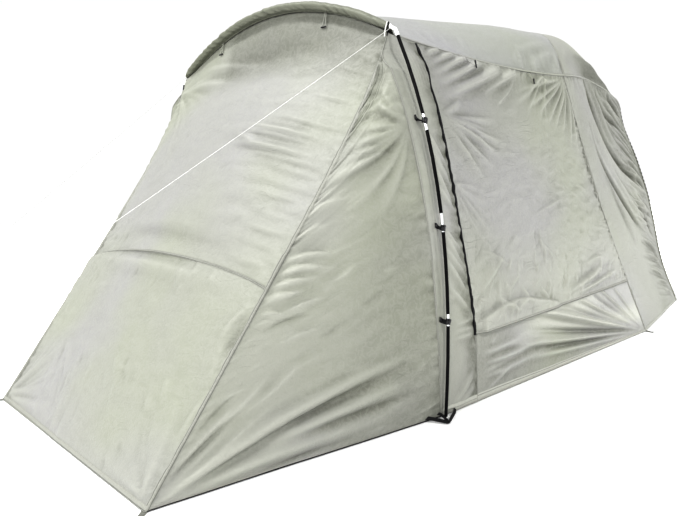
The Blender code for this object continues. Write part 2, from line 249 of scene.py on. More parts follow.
def roof_point(across, along):
    edge_reach = ROOF_START + (SEAM_TOP_REACH - ROOF_START) * along
    edge = side_point(edge_reach, np.ones_like(along))
    rise = ROOF_REAR_RISE + (ROOF_FRONT_RISE - ROOF_REAR_RISE) * np.maximum(0.0, 1 - along) ** ROOF_RISE_POWER
    power = ROOF_FRONT_POWER + (ROOF_REAR_POWER - ROOF_FRONT_POWER) * along ** 2 * (3 - 2 * along)
    reach = edge_reach + ROOF_CROWN_REACH * (1 - across ** 2) * along
    return place(edge[..., 0] * across, reach, edge[..., 2] + rise * (1 - np.abs(across) ** power))


def top_point(across, along):
    along = np.maximum(0.0, along)
    start = roof_point(across, np.ones_like(along))
    end = place(MOUTH_HALF * across, MOUTH_REACH,
                MOUTH_HEIGHT + MOUTH_RISE * (1 - across ** MOUTH_RISE_POWER))
    x, y, z = np.moveaxis(start, -1, 0)
    end_x, end_y, end_z = np.moveaxis(end, -1, 0)
    hump = SLEEVE_HUMP * np.sin(np.pi * np.minimum(1.0, 2.0 * along))
    return place(x + (end_x - x) * along ** SLEEVE_TAPER, y + (end_y - y) * along,
                 z + (end_z - z) * along ** SLEEVE_FALL + hump)


def sleeve_point(along, level):
    x, y, z = np.moveaxis(top_point(np.ones_like(along), along), -1, 0)
    low_x = REAR_PEG_HALF + (MOUTH_LOW_HALF - REAR_PEG_HALF) * along
    low_y = REAR_PEG_REACH + (MOUTH_LOW_REACH - REAR_PEG_REACH) * along
    lean = np.maximum(0.0, 1 - level) ** (1 + SIDE_LEAN * along)
    hollow = SEAM_HOLLOW * np.sin(np.pi * level) * (1 - along)
    bulge = SIDE_BULGE * level * np.sin(np.pi * level) ** 2 * along
    return place(x + (low_x - x) * lean - hollow + bulge, low_y + (y - low_y) * level,
                 np.maximum(z * level, HEM_LIFT))


def brow_point(across, round_bow):
    """The band round the bow: round_bow runs over the corners of its section."""
    x = CORNER_HALF * across
    size = 1 - BROW_TAPER * smooth((np.abs(across) - BROW_TAPER_START) / (1 - BROW_TAPER_START))
    corners = [place(x, reach * size, bow_height(x) - BOW_DROP - (drop - BOW_DROP) * size)
               for reach, drop in BROW_SECTION]
    corners.append(roof_point(across, np.zeros_like(across)))
    spots = np.zeros_like(corners[0])
    for number, corner in enumerate(corners):
        spots = spots + corner * np.maximum(0.0, 1 - np.abs(round_bow - number))[..., None]
    return spots


# Helpers for cloth

def unit(vectors):
    return vectors / np.maximum(np.linalg.norm(vectors, axis=-1, keepdims=True), 1e-12)


def smooth(share):
    share = np.clip(share, 0.0, 1.0)
    return share * share * (3 - 2 * share)


def noise(x, y, seed):
    """Smooth random heights, about -1 to 1, over two coordinates counted in cells."""
    angles = np.random.default_rng(seed).uniform(0, 2 * np.pi, (NOISE_CELLS, NOISE_CELLS))
    column, row = np.floor(x).astype(int), np.floor(y).astype(int)
    part_x, part_y = x - column, y - row

    def corner(right, up):
        angle = angles[(row + up) % NOISE_CELLS, (column + right) % NOISE_CELLS]
        return np.cos(angle) * (part_x - right) + np.sin(angle) * (part_y - up)

    lower = corner(0, 0) + (corner(1, 0) - corner(0, 0)) * smooth(part_x)
    upper = corner(0, 1) + (corner(1, 1) - corner(0, 1)) * smooth(part_x)
    return 1.5 * (lower + (upper - lower) * smooth(part_y))


def softened(grid, passes):
    """The grid after a number of averaging passes with its neighbours."""
    for _ in range(passes):
        for axis in (0, 1):
            wide = np.concatenate([grid.take([0], axis), grid, grid.take([-1], axis)], axis=axis)
            count = grid.shape[axis]
            before, after = wide.take(range(count), axis), wide.take(range(2, count + 2), axis)
            grid = 0.5 * grid + 0.25 * (before + after)
    return grid


def rounded(path):
    """A path of panel points with its corners cut twice."""
    path = np.asarray(path, float)
    for _ in range(2 if len(path) > 2 else 0):
        ahead = path[:-1] * 0.75 + path[1:] * 0.25
        behind = path[:-1] * 0.25 + path[1:] * 0.75
        middle = np.stack([ahead, behind], axis=1).reshape(-1, 2)
        path = np.concatenate([path[:1], middle, path[-1:]])
    return path


def shifted(path, across, up):
    return [(u + across, v + up) for u, v in path]


def bent(start, end, across, up):
    """A path between two panel points, with its middle moved aside."""
    middle = (0.5 * (start[0] + end[0]) + across, 0.5 * (start[1] + end[1]) + up)
    return [start, middle, end]


class Panel:
    """A cloth panel: a grid of points on one of the surfaces, and how far its folds push each point out."""

    def __init__(self, point, side, pitch, u_range=(0.0, 1.0), v_range=(0.0, 1.0), seed=1, depth=FOLD_DEPTH):
        self.point = point
        self.depth = depth
        self.side = side
        self.u_range = u_range
        self.v_range = v_range
        self.seed = seed
        self.pitch = pitch
        probe_u, probe_v = np.meshgrid(np.linspace(*u_range, 40), np.linspace(*v_range, 40))
        probe = self.spots(probe_u, probe_v)
        width = np.linalg.norm(np.diff(probe, axis=1), axis=-1).sum(axis=1)
        height = np.linalg.norm(np.diff(probe, axis=0), axis=-1).sum(axis=0)
        columns = max(4, round(width.mean() / pitch))
        rows = max(4, round(height.mean() / pitch))
        self.u, self.v = np.meshgrid(np.linspace(*u_range, columns + 1), np.linspace(*v_range, rows + 1))
        self.base = self.spots(self.u, self.v)
        self.normal = self.outward(self.base)
        self.across = self.running(self.base, 1)
        self.up = self.running(self.base, 0)
        self.width = self.across[:, -1]
        self.height = self.up[-1, :]
        self.push = np.zeros(self.u.shape)
        # Painted shade per spot, added into the colour: above zero darker, below zero lighter
        self.shade = np.zeros(self.u.shape)
        self.gap = {"u0": self.across, "u1": self.width[:, None] - self.across,
                    "v0": self.up, "v1": self.height[None, :] - self.up}

    def spots(self, u, v):
        spots = self.point(np.asarray(u, float), np.asarray(v, float))
        return spots * [self.side, 1.0, 1.0] + [0.0, HOOP_Y, 0.0]

    @staticmethod
    def running(spots, axis):
        """Metres from the first border along the grid's lines."""
        steps = np.linalg.norm(np.diff(spots, axis=axis), axis=-1)
        start = np.zeros_like(np.take(steps, [0], axis=axis))
        return np.concatenate([start, np.cumsum(steps, axis=axis)], axis=axis)

    def outward(self, spots):
        normal = unit(np.cross(np.gradient(spots, axis=1), np.gradient(spots, axis=0)))
        flip = np.sign(np.mean(np.sum(normal * (spots - MIDDLE), axis=-1)))
        return normal * flip

    def patch(self, corners, margin):
        """The rows and columns of the grid that come within a margin of some places."""
        inside = (self.base > corners.min(axis=0) - margin) & (self.base < corners.max(axis=0) + margin)
        inside = inside.all(axis=-1)
        rows, columns = np.flatnonzero(inside.any(axis=1)), np.flatnonzero(inside.any(axis=0))
        if not len(rows):
            return slice(0, 1), slice(0, 1)
        return slice(rows[0], rows[-1] + 1), slice(columns[0], columns[-1] + 1)

    def distance(self, path, margin=WHOLE_PANEL):
        """The patch round a path, each spot's signed distance from it, and how far along it the spot lies."""
        path = rounded(path)
        corners = self.spots(path[:, 0], path[:, 1])
        patch = self.patch(corners, margin)
        base, normal = self.base[patch], self.normal[patch]
        lengths = np.linalg.norm(np.diff(corners, axis=0), axis=-1)
        starts = np.concatenate([[0.0], np.cumsum(lengths)])
        nearest = np.full(base.shape[:2], 1e9)
        share = np.zeros(base.shape[:2])
        for start, end, length, before in zip(corners[:-1], corners[1:], lengths, starts):
            way = (end - start) / max(length, 1e-9)
            offset = base - start
            run = np.clip(offset @ way, 0.0, length)
            miss = offset - run[..., None] * way
            far = np.linalg.norm(miss, axis=-1)
            left = np.where(np.sum(np.cross(way, miss) * normal, axis=-1) < 0, -self.side, self.side)
            closer = far < np.abs(nearest)
            nearest = np.where(closer, far * left, nearest)
            share = np.where(closer, (before + run) / starts[-1], share)
        return patch, nearest, share

    def fold(self, path, height, width, other, peak=0.5, sharp=False, spread=False):
        """Raises a fold along a path: its width lies on the path's left and other on its right."""
        margin = (SHARP_REACH if sharp else SOFT_REACH) * max(width, other)
        patch, distance, share = self.distance(path, margin)
        width = np.where(distance > 0, width, other)
        if spread:
            width = width * (0.35 + 0.65 * share)
        if peak == 0:
            rise = smooth(6 * share) * (1 - share)
        else:
            rise = smooth(share / peak) * smooth((1 - share) / (1 - peak))
        shape = np.exp(-np.abs(distance) / width) if sharp else np.exp(-(distance / width) ** 2)
        self.push[patch] += height * rise * shape

    def folds(self, *rows, **style):
        """Raises placed folds: each row is a height, both widths (in millimetres), a peak and the path."""
        for height, width, other, peak, *path in rows:
            self.fold(path, height / 1000, width / 1000, other / 1000, peak, **style)

    def creases(self, count, length, height, width, heading=0.0, spread=180.0, u=(0.0, 1.0), v=(0.0, 1.0),
                seed=0):
        """Short crisp creases at random in a range of panel points, within degrees of a heading."""
        rng = np.random.default_rng(self.seed * 211 + seed)
        for _ in range(count):
            middle = np.array([rng.uniform(*u), rng.uniform(*v)])
            turn = math.radians(heading + spread * rng.uniform(-0.5, 0.5))
            reach = length * rng.uniform(0.35, 1.5)
            row = np.interp(middle[1], self.v[:, 0], self.width) / (self.u_range[1] - self.u_range[0])
            column = np.interp(middle[0], self.u[0], self.height) / (self.v_range[1] - self.v_range[0])
            half = np.array([math.cos(turn) / max(row, 0.05), math.sin(turn) / column]) * reach / 2
            aside = np.array([-half[1] * column / max(row, 0.05), half[0] * row / column])
            bend = aside * rng.normal(0.0, 0.18)
            size = height * rng.uniform(0.35, 1.3) * rng.choice([-0.6, 1.0])
            self.fold([middle - half, middle + bend, middle + half], size, width * rng.uniform(0.6, 1.3),
                      width * rng.uniform(1.2, 3.2), peak=rng.uniform(0.3, 0.7), sharp=True)

    def shares(self, u, v):
        """Panel points counted from 0 to 1 over the panel's own ranges."""
        (u_low, u_high), (v_low, v_high) = self.u_range, self.v_range
        return (u - u_low) / (u_high - u_low), (v - v_low) / (v_high - v_low)

    def bulge(self, height):
        """Lets the middle of the panel belly out."""
        height = height / self.depth
        across, level = self.shares(self.u, self.v)
        self.push += height * np.sin(np.pi * across) * np.sin(np.pi * level)

    def fan(self, anchor, first, last, count, height, width, seed=0):
        """Folds that run from an anchor to ends spread between two panel points."""
        rng = np.random.default_rng(self.seed * 31 + seed)
        for share in np.linspace(0.0, 1.0, count):
            end = np.asarray(first) * (1 - share) + np.asarray(last) * share
            reach = rng.uniform(0.65, 1.05)
            end = np.asarray(anchor) + (end - anchor) * reach
            middle = (np.asarray(anchor) + end) / 2 + rng.normal(0.0, 0.006, 2)
            size = height * rng.uniform(0.55, 1.25)
            self.fold([anchor, middle, end], size, width * rng.uniform(0.7, 1.2),
                      width * rng.uniform(0.5, 1.6), peak=0, spread=True)

    def window(self, u_low, u_high, v_low, v_high, blur=0.08):
        """A soft-edged mask over a range of panel points."""
        inside_u = smooth((self.u - u_low) / blur + 0.5) * smooth((u_high - self.u) / blur + 0.5)
        inside_v = smooth((self.v - v_low) / blur + 0.5) * smooth((v_high - self.v) / blur + 0.5)
        return inside_u * inside_v

    def crinkle(self, height, cell, stretch=1.0, heading=0.0, where=1.0, seed=0):
        """Random relief in cells: stretch lengthens them along a heading, counted from u towards v."""
        turn = math.radians(heading)
        along = (self.across * math.cos(turn) + self.up * math.sin(turn)) / (cell * stretch)
        beside = (self.up * math.cos(turn) - self.across * math.sin(turn)) / cell
        seed = self.seed * 101 + seed
        warp = 0.35 * noise(along * 0.7 + 9.1, beside * 0.7 + 3.3, seed + 7)
        self.push += height * noise(along + warp, beside + warp, seed) * where

    def pucker(self, border, height, cell, reach, seed=0, slope=0.0):
        """Short wrinkles that run in from a border and die out."""
        run = self.up if border[0] == "u" else self.across
        gap = self.gap[border]
        warp = 0.5 * noise(run / (cell * 5) + 2.2, gap / (reach * 2) + 5.5, self.seed * 53 + seed)
        value = noise((run + slope * gap) / cell + warp, gap / (reach * 1.5) + 1.7, self.seed * 57 + seed)
        strength = 0.35 + 0.65 * smooth(0.5 + noise(run / (cell * 9), run * 0 + 0.5, self.seed * 59 + seed))
        self.push += height * value * strength * np.exp(-gap / reach)

    def settle(self, held=("u0", "u1", "v0", "v1"), hold=EDGE_HOLD, limit=0.2):
        """Fades the folds out where a border is sewn, limits them outwards, and lays the cloth."""
        for border in held:
            self.push *= smooth((self.gap[border] + EDGE_PLAY) / hold)
        self.push *= self.depth
        self.push = np.where(self.push > 0, limit * np.tanh(self.push / limit), self.push)
        # Painted shade and painted highlight: spots sunk below their softened neighbours get a darker colour,
        # raised ones a lighter one, and the panel's painted shade is added
        passes = round(2 * (HOLLOW_REACH / self.pitch) ** 2)
        hollow = np.clip((softened(self.push, passes) - self.push) / HOLLOW_DEPTH, -1.0, 1.0)
        self.hollow = hollow + self.shade
        self.lay()

    def lay(self):
        """Works out the folded cloth from how far each spot is pushed out."""
        self.folded = self.base + self.normal * self.push[..., None]
        self.folded[..., 2] = np.maximum(self.folded[..., 2], CLOTH_THICKNESS)
        self.facing = self.outward(self.folded)

    def tuck_behind(self, other, level, depth):
        """Lays the cloth above a level close behind another panel of the same surface."""
        behind = other.sampled(other.push, self.u, self.v) - depth
        share = smooth((self.v - level + SILL_TUCK_START) / SILL_TUCK_RUN)
        self.push = self.push * (1 - share) + behind * share
        self.lay()

    def border(self, name, share, inset):
        """Panel points at an inset from a border, in metres."""
        (u_low, u_high), (v_low, v_high) = self.u_range, self.v_range
        share = np.asarray(share, float)
        upright = name[0] == "u"
        extent = self.width if upright else self.height
        extent = np.interp(share, np.linspace(0, 1, len(extent)), extent)
        part = np.clip(inset / np.maximum(extent, 1e-6), 0.0, 1.0)
        part = 1 - part if name[1] == "1" else part
        across, level = (part, share) if upright else (share, part)
        return u_low + (u_high - u_low) * across, v_low + (v_high - v_low) * level

    def sampled(self, grid, u, v):
        """A grid's values between its points."""
        rows, columns = self.u.shape
        across, level = self.shares(u, v)
        x, y = np.clip(across, 0, 1) * (columns - 1), np.clip(level, 0, 1) * (rows - 1)
        column = np.minimum(x.astype(int), columns - 2)
        row = np.minimum(y.astype(int), rows - 2)
        part_x, part_y = x - column, y - row
        if grid.ndim > 2:
            part_x, part_y = part_x[..., None], part_y[..., None]
        lower = grid[row, column] * (1 - part_x) + grid[row, column + 1] * part_x
        upper = grid[row + 1, column] * (1 - part_x) + grid[row + 1, column + 1] * part_x
        return lower * (1 - part_y) + upper * part_y

    def at(self, u, v):
        """Places on the folded cloth and the directions that face out there."""
        return self.sampled(self.folded, u, v), unit(self.sampled(self.facing, u, v))


# Helpers for pieces

def finished(obj, material):
    obj.data.materials.append(material)
    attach(obj, "root")
    return obj


def grid_object(name, spots, material, uv=None, closed=False):
    """A smooth mesh over a grid of spots; closed joins the last column to the first."""
    rows, columns = spots.shape[:2]
    index = np.arange(rows * columns).reshape(rows, columns)
    if closed:
        index = np.concatenate([index, index[:, :1]], axis=1)
    faces = np.stack([index[:-1, :-1], index[:-1, 1:], index[1:, 1:], index[1:, :-1]], axis=-1).reshape(-1, 4)
    mesh = bpy.data.meshes.new(name)
    mesh.vertices.add(rows * columns)
    mesh.vertices.foreach_set("co", spots.reshape(-1).astype(np.float32))
    mesh.loops.add(faces.size)
    mesh.loops.foreach_set("vertex_index", faces.reshape(-1).astype(np.int32))
    mesh.polygons.add(len(faces))
    mesh.polygons.foreach_set("loop_start", np.arange(0, faces.size, 4, dtype=np.int32))
    mesh.update(calc_edges=True)
    if uv is not None:
        layer = mesh.uv_layers.new(name="UVMap")
        layer.data.foreach_set("uv", uv.reshape(-1, 2)[faces.reshape(-1)].reshape(-1).astype(np.float32))
    mesh.polygons.foreach_set("use_smooth", np.ones(len(faces), dtype=bool))
    mesh.validate()
    obj = bpy.data.objects.new(name, mesh)
    bpy.context.scene.collection.objects.link(obj)
    return finished(obj, material)


def cloth_object(name, panel, slot, material, *replaced):
    """The panel's cloth as a mesh with a thickness."""
    spots = panel.folded
    uv = np.stack([panel.across, panel.up], axis=-1)
    hollow = panel.hollow
    turned = np.cross(np.gradient(spots, axis=1), np.gradient(spots, axis=0))
    if np.mean(np.sum(turned * panel.facing, axis=-1)) < 0:
        spots, uv, hollow = spots[:, ::-1], uv[:, ::-1], hollow[:, ::-1]
    obj = grid_object(name, spots, material, uv)
    # The hollow attribute carries the painted shade and painted highlight into the cloth's colour
    layer = obj.data.attributes.new("hollow", "FLOAT", "POINT")
    layer.data.foreach_set("value", hollow.reshape(-1).astype(np.float32))
    thickness = obj.modifiers.new("Thickness", "SOLIDIFY")
    thickness.thickness = CLOTH_THICKNESS
    thickness.offset = -1.0
    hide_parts(*replaced)
    return obj


def lengths_along(spots):
    steps = np.linalg.norm(np.diff(spots, axis=0), axis=-1)
    return np.concatenate([[0.0], np.cumsum(steps)])


def seam(name, first, second, material, width=SEAM_WIDTH, lift=SEAM_LIFT):
    """A flat felled seam over the borders of two panels: each is (panel, border, start, end)."""
    count = max(6, round(rim_length(first) / SEAM_PITCH))
    profile = ((1.0, SEAM_ROOT), (0.92, lift * 0.8), (0.75, lift), (0.58, lift * 0.3), (0.42, lift),
               (0.0, lift * 1.3))
    columns = [rim(first, count, inset * width / 2, rise) for inset, rise in profile]
    ahead = [rim(second, count, inset * width / 2, rise) for inset, rise in profile]
    columns[-1] = (columns[-1] + ahead[-1]) / 2
    columns += ahead[-2::-1]
    return banded(name, columns, material)


def hem(name, rims, material, width=HEM_WIDTH, lift=SEAM_LIFT, taper=1.0):
    """A turned hem over the free border of a panel, which may narrow towards its end."""
    count = max(6, round(rim_length(rims) / SEAM_PITCH))
    back = -(CLOTH_THICKNESS + lift)
    profile = ((1.0, SEAM_ROOT), (0.94, lift), (0.5, lift), (0.0, lift), (0.0, back), (0.9, back))
    widths = np.linspace(width, width * taper, count + 1)
    return banded(name, [rim(rims, count, inset * widths, rise) for inset, rise in profile], material)


def piping(name, panel, border, start, end):
    """A corded edge along a seam."""
    spots, facing = panel.at(*panel.border(border, np.linspace(start, end, 220), PIPING_INSET))
    path = spots + facing * PIPING_LIFT
    return sweep(name, path, ring_profile(PIPING_RADIUS, 8), piping_sage)


def rim(rims, count, inset, rise):
    panel, border, start, end = rims
    spots, facing = panel.at(*panel.border(border, np.linspace(start, end, count + 1), inset))
    return spots + facing * rise


def rim_length(rims):
    return lengths_along(rim(rims, 60, 0.0, 0.0))[-1]


def banded(name, columns, material):
    spots = np.stack(columns, axis=1)
    spots[..., 2] = np.maximum(spots[..., 2], GAP)
    run = lengths_along(spots[:, spots.shape[1] // 2])
    wide = lengths_along(spots[len(spots) // 2])
    uv = np.stack(np.meshgrid(wide - wide[-1] / 2, run), axis=-1)[..., ::-1]
    return grid_object(name, spots, material, uv)


def sweep(name, path, profile, material, up=(0.0, 0.0, 1.0), sizes=None, capped=True):
    """A closed outline of (sideways, upward) pairs carried along a path."""
    path = np.asarray(path, float)
    profile = np.asarray(profile, float)
    tangent = unit(np.gradient(path, axis=0))
    upward = np.broadcast_to(np.asarray(up, float), path.shape)
    upward = unit(upward - np.sum(upward * tangent, axis=-1, keepdims=True) * tangent)
    sideways = np.cross(tangent, upward)
    sizes = np.ones(len(path)) if sizes is None else np.asarray(sizes, float)
    if capped:
        ends = [0, *range(len(path)), len(path) - 1]
        path, upward, sideways = path[ends], upward[ends], sideways[ends]
        sizes = np.concatenate([[1e-3], sizes, [1e-3]])
    outline = sideways[:, None] * profile[None, :, :1] + upward[:, None] * profile[None, :, 1:]
    spots = path[:, None] + outline * sizes[:, None, None]
    run = lengths_along(path)
    uv = np.stack(np.meshgrid(np.linspace(0, 0.02, len(profile)), run), axis=-1)[..., ::-1]
    return grid_object(name, spots, material, uv, closed=True)


def ring_profile(radius, sides=12):
    angles = np.linspace(0, 2 * np.pi, sides, endpoint=False)
    return np.stack([np.cos(angles), np.sin(angles)], axis=-1) * radius


def flat_profile(width, thickness, corner=0.3):
    """A rounded rectangle, width sideways and thickness upward."""
    angles = np.linspace(0, 2 * np.pi, 16, endpoint=False)
    x = np.sign(np.cos(angles)) * np.abs(np.cos(angles)) ** corner
    y = np.sign(np.sin(angles)) * np.abs(np.sin(angles)) ** corner
    return np.stack([x * width / 2, y * thickness / 2], axis=-1)


def curve(spots, count):
    """A smooth run of points through a few spots."""
    spots = np.asarray(spots, float)
    padded = np.concatenate([2 * spots[:1] - spots[1:2], spots, 2 * spots[-1:] - spots[-2:-1]])
    at = np.linspace(0, len(spots) - 1 - 1e-9, count)
    step = at.astype(int)
    t = (at - step)[:, None]
    a, b, c, d = (padded[step + offset] for offset in range(4))
    bend = 2 * a - 5 * b + 4 * c - d
    twist = 3 * b - a - 3 * c + d
    return 0.5 * (2 * b + (c - a) * t + bend * t ** 2 + twist * t ** 3)


def ring_round(centre, first, second, count):
    """Spots all round a centre, from the first radius towards the second."""
    first, second = np.asarray(first), np.asarray(second)
    angles = np.linspace(0, 2 * np.pi, count)
    return [centre + first * math.cos(angle) + second * math.sin(angle) for angle in angles]


# Materials

class Finish:
    """A Principled material, put together from nodes."""

    def __init__(self, name, colour, roughness, metallic=0.0, **sockets):
        self.material = bpy.data.materials.new(name)
        self.material.use_nodes = True
        self.tree = self.material.node_tree
        self.shader = self.tree.nodes["Principled BSDF"]
        self.shader.inputs["Base Color"].default_value = (*colour, 1.0)
        self.shader.inputs["Roughness"].default_value = roughness
        self.shader.inputs["Metallic"].default_value = metallic
        for socket, value in sockets.items():
            self.shader.inputs[socket.replace("_", " ")].default_value = value
        self.places = self.tree.nodes.new("ShaderNodeTexCoord")

    def node(self, kind, settings=None, **inputs):
        made = self.tree.nodes.new("ShaderNode" + kind)
        for name, value in (settings or {}).items():
            setattr(made, name, value)
        for name, value in inputs.items():
            socket = made.inputs[int(name[1:]) if name[0] == "_" else name]
            if isinstance(value, bpy.types.NodeSocket):
                self.tree.links.new(value, socket)
            else:
                socket.default_value = value
        return made

    def math(self, operation, first, second=0.0, third=0.0):
        return self.node("Math", {"operation": operation}, _0=first, _1=second, _2=third).outputs[0]

    def from_middle(self, value, middle=0.5):
        """How far a value lies from its middle: of a noise, this makes crease lines."""
        return self.math("ABSOLUTE", self.math("SUBTRACT", value, middle))

    def grain(self, scale, detail, roughness=0.55, distortion=0.0):
        return self.node("TexNoise", Vector=self.places.outputs["Object"], Scale=scale, Detail=detail,
                         Roughness=roughness, Distortion=distortion).outputs["Fac"]

    def blend(self, share, first, second):
        made = self.node("Mix", {"data_type": "RGBA"}, _0=share)
        for socket, value in ((made.inputs[6], first), (made.inputs[7], second)):
            if isinstance(value, bpy.types.NodeSocket):
                self.tree.links.new(value, socket)
            else:
                socket.default_value = (*value, 1.0)
        return made.outputs[2]

    def stretch(self, value, low, high, low_to=0.0, high_to=1.0):
        made = self.node("MapRange", _0=value, _1=low, _2=high, _3=low_to, _4=high_to)
        return made.outputs[0]

    def bump(self, height, distance, strength=1.0, below=None):
        made = self.node("Bump", Height=height, Distance=distance, Strength=strength)
        if below is not None:
            self.tree.links.new(below, made.inputs["Normal"])
        return made.outputs["Normal"]

    def link(self, value, socket):
        self.tree.links.new(value, self.shader.inputs[socket])

    def waves(self, axis, pitch):
        """Heights that rise and fall along one UV axis."""
        split = self.node("SeparateXYZ", _0=self.places.outputs["UV"])
        turned = self.math("MULTIPLY", split.outputs[axis], 2 * math.pi / pitch)
        return self.math("SINE", turned)


def scaled(colour, factor):
    return tuple(min(1.0, value * factor) for value in colour)


WEAVE = 0.0016
CLOTH_ROUGHNESS = 0.5
PLASTIC_ROUGHNESS = 0.42


def cloth_finish(name, colour, crumple=0.5, wear_and_painted_shade=0.35):
    """Coated polyester: a fine weave, soft crumples, and painted shade in the creases with painted highlight
    on the ridges, from the mesh's hollow attribute.
    """
    finish = Finish(name, colour, CLOTH_ROUGHNESS, Sheen_Weight=0.05, Sheen_Roughness=0.5,
                    Specular_IOR_Level=0.3)
    clouds = finish.grain(1.3, 3.0)
    patches = finish.grain(0.9, 2.0, 0.5, 0.4)
    creases = finish.grain(24.0, 5.0, 0.6, 0.8)
    ridges = finish.from_middle(creases)
    fine = finish.grain(80.0, 3.0, 0.6, 0.4)
    threads = finish.math("MULTIPLY", finish.waves(0, WEAVE), finish.waves(1, WEAVE))
    specks = finish.grain(900.0, 2.0, 0.7)
    grey = (colour[0] * 0.99, colour[1] * 0.975, colour[2] * 1.06)
    leafy = (colour[0] * 0.985, colour[1] * 1.01, colour[2] * 0.93)
    hue = finish.blend(finish.stretch(patches, 0.4, 0.6), grey, leafy)
    tone = finish.blend(finish.stretch(clouds, 0.35, 0.65, 0.0, 0.5), hue, scaled(colour, 0.94))
    hollow = finish.node("Attribute", {"attribute_name": "hollow"}).outputs["Fac"]
    # Painted shade: a darker colour where the hollow attribute is above zero; painted highlight where it is
    # below zero
    painted_shade_colour = (colour[0] * 0.32, colour[1] * 0.33, colour[2] * 0.27)
    sunk = finish.blend(finish.stretch(hollow, 0.0, 2.0, 0.0, 2 * wear_and_painted_shade), tone, painted_shade_colour)
    raised = finish.blend(finish.stretch(hollow, 0.0, -2.0, 0.0, 2 * wear_and_painted_shade), sunk, scaled(colour, 1.35))
    creased = finish.blend(finish.stretch(ridges, 0.0, 0.07, 0.3, 0.0), raised, scaled(colour, 1.12))
    flecked = finish.blend(finish.stretch(specks, 0.3, 0.7, 0.0, 0.14), creased, scaled(colour, 0.8))
    finish.link(flecked, "Base Color")
    rough = finish.stretch(fine, 0.3, 0.7, CLOTH_ROUGHNESS - 0.07, CLOTH_ROUGHNESS + 0.08)
    finish.link(rough, "Roughness")
    longer = finish.node("Mapping", Vector=finish.places.outputs["Object"], Scale=(1.0, 1.0, 3.0))
    wander = finish.node("TexNoise", Vector=longer.outputs[0], Scale=4.5, Detail=1.5,
                         Distortion=0.8).outputs["Fac"]
    line = finish.stretch(finish.from_middle(wander), 0.0, 0.02, 1.0, 0.0)
    shown = finish.stretch(finish.grain(4.0, 2.0), 0.46, 0.6)
    normal = finish.bump(finish.math("MULTIPLY", line, shown), 0.0016, crumple)
    normal = finish.bump(ridges, 0.007, crumple, normal)
    normal = finish.bump(fine, 0.0026, crumple, normal)
    finish.link(finish.bump(threads, 0.0001, 0.5, normal), "Normal")
    return finish.material


def seam_finish(name, colour, row=0.0045):
    """A folded seam with two rows of stitches, sunk and darker than the cloth: painted shade in the rows."""
    finish = Finish(name, colour, 0.6, Sheen_Weight=0.05, Specular_IOR_Level=0.3)
    split = finish.node("SeparateXYZ", _0=finish.places.outputs["UV"])
    from_row = finish.from_middle(finish.math("ABSOLUTE", split.outputs[1]), row)
    in_row = finish.stretch(from_row, 0.0007, 0.0017, 1.0, 0.0)
    dash = finish.stretch(finish.waves(0, 0.0045), -0.7, -0.3)
    stitch = finish.math("MULTIPLY", in_row, dash)
    fine = finish.grain(120.0, 4.0, 0.6)
    tone = finish.blend(finish.stretch(fine, 0.35, 0.65), scaled(colour, 0.90), scaled(colour, 1.06))
    # Painted shade in the sunk stitch rows
    sunk = finish.blend(in_row, tone, scaled(colour, 0.30))
    finish.link(finish.blend(finish.math("MULTIPLY", stitch, 0.5), sunk, scaled(colour, 0.8)), "Base Color")
    finish.link(finish.stretch(fine, 0.3, 0.7, 0.5, 0.68), "Roughness")
    normal = finish.bump(fine, 0.0022, 0.6)
    finish.link(finish.bump(finish.math("SUBTRACT", stitch, in_row), 0.0006, 0.8, normal), "Normal")
    return finish.material


def webbing_finish(name, colour):
    """Woven tape with a herringbone rib."""
    finish = Finish(name, colour, 0.75, Sheen_Weight=0.0, Specular_IOR_Level=0.08)
    ribs = finish.math("MULTIPLY", finish.waves(0, 0.0018), finish.waves(1, 0.0024))
    fuzz = finish.grain(700.0, 3.0, 0.7)
    finish.link(finish.blend(finish.stretch(fuzz, 0.3, 0.7), scaled(colour, 0.7), scaled(colour, 1.5)),
                "Base Color")
    finish.link(finish.stretch(fuzz, 0.3, 0.7, 0.65, 0.85), "Roughness")
    finish.link(finish.bump(ribs, 0.0003, 0.8, finish.bump(fuzz, 0.0002, 0.5)), "Normal")
    return finish.material


def painted_finish(name, colour, roughness, wear_and_painted_shade, metallic=0.0):
    """Paint or bare metal with fine scratches along it and flecks of wear."""
    finish = Finish(name, colour, roughness, metallic, Specular_IOR_Level=0.5 if metallic else 0.06)
    long = finish.node("Mapping", Vector=finish.places.outputs["Object"], Scale=(260.0, 260.0, 9.0))
    lines = finish.node("TexNoise", Vector=long.outputs[0], Scale=1.0, Detail=3.0).outputs["Fac"]
    flecks = finish.grain(160.0, 5.0, 0.65)
    share = finish.stretch(flecks, 0.66, 0.74, 0.0, 0.8)
    finish.link(finish.blend(share, colour, wear_and_painted_shade), "Base Color")
    finish.link(finish.stretch(lines, 0.3, 0.7, max(0.05, roughness - 0.1), roughness + 0.15), "Roughness")
    finish.link(finish.bump(lines, 0.0002, 0.3), "Normal")
    return finish.material


def plastic_finish(name, colour):
    """Moulded plastic with a fine pebbled skin."""
    finish = Finish(name, colour, PLASTIC_ROUGHNESS, Specular_IOR_Level=0.45)
    pebbles = finish.grain(1400.0, 3.0, 0.6)
    scuffs = finish.grain(90.0, 5.0, 0.7)
    finish.link(finish.blend(finish.stretch(scuffs, 0.62, 0.75, 0.0, 0.5), colour, scaled(colour, 2.2)),
                "Base Color")
    rough = finish.stretch(pebbles, 0.3, 0.7, PLASTIC_ROUGHNESS - 0.08, PLASTIC_ROUGHNESS + 0.12)
    finish.link(rough, "Roughness")
    finish.link(finish.bump(pebbles, 0.0002, 0.5), "Normal")
    return finish.material


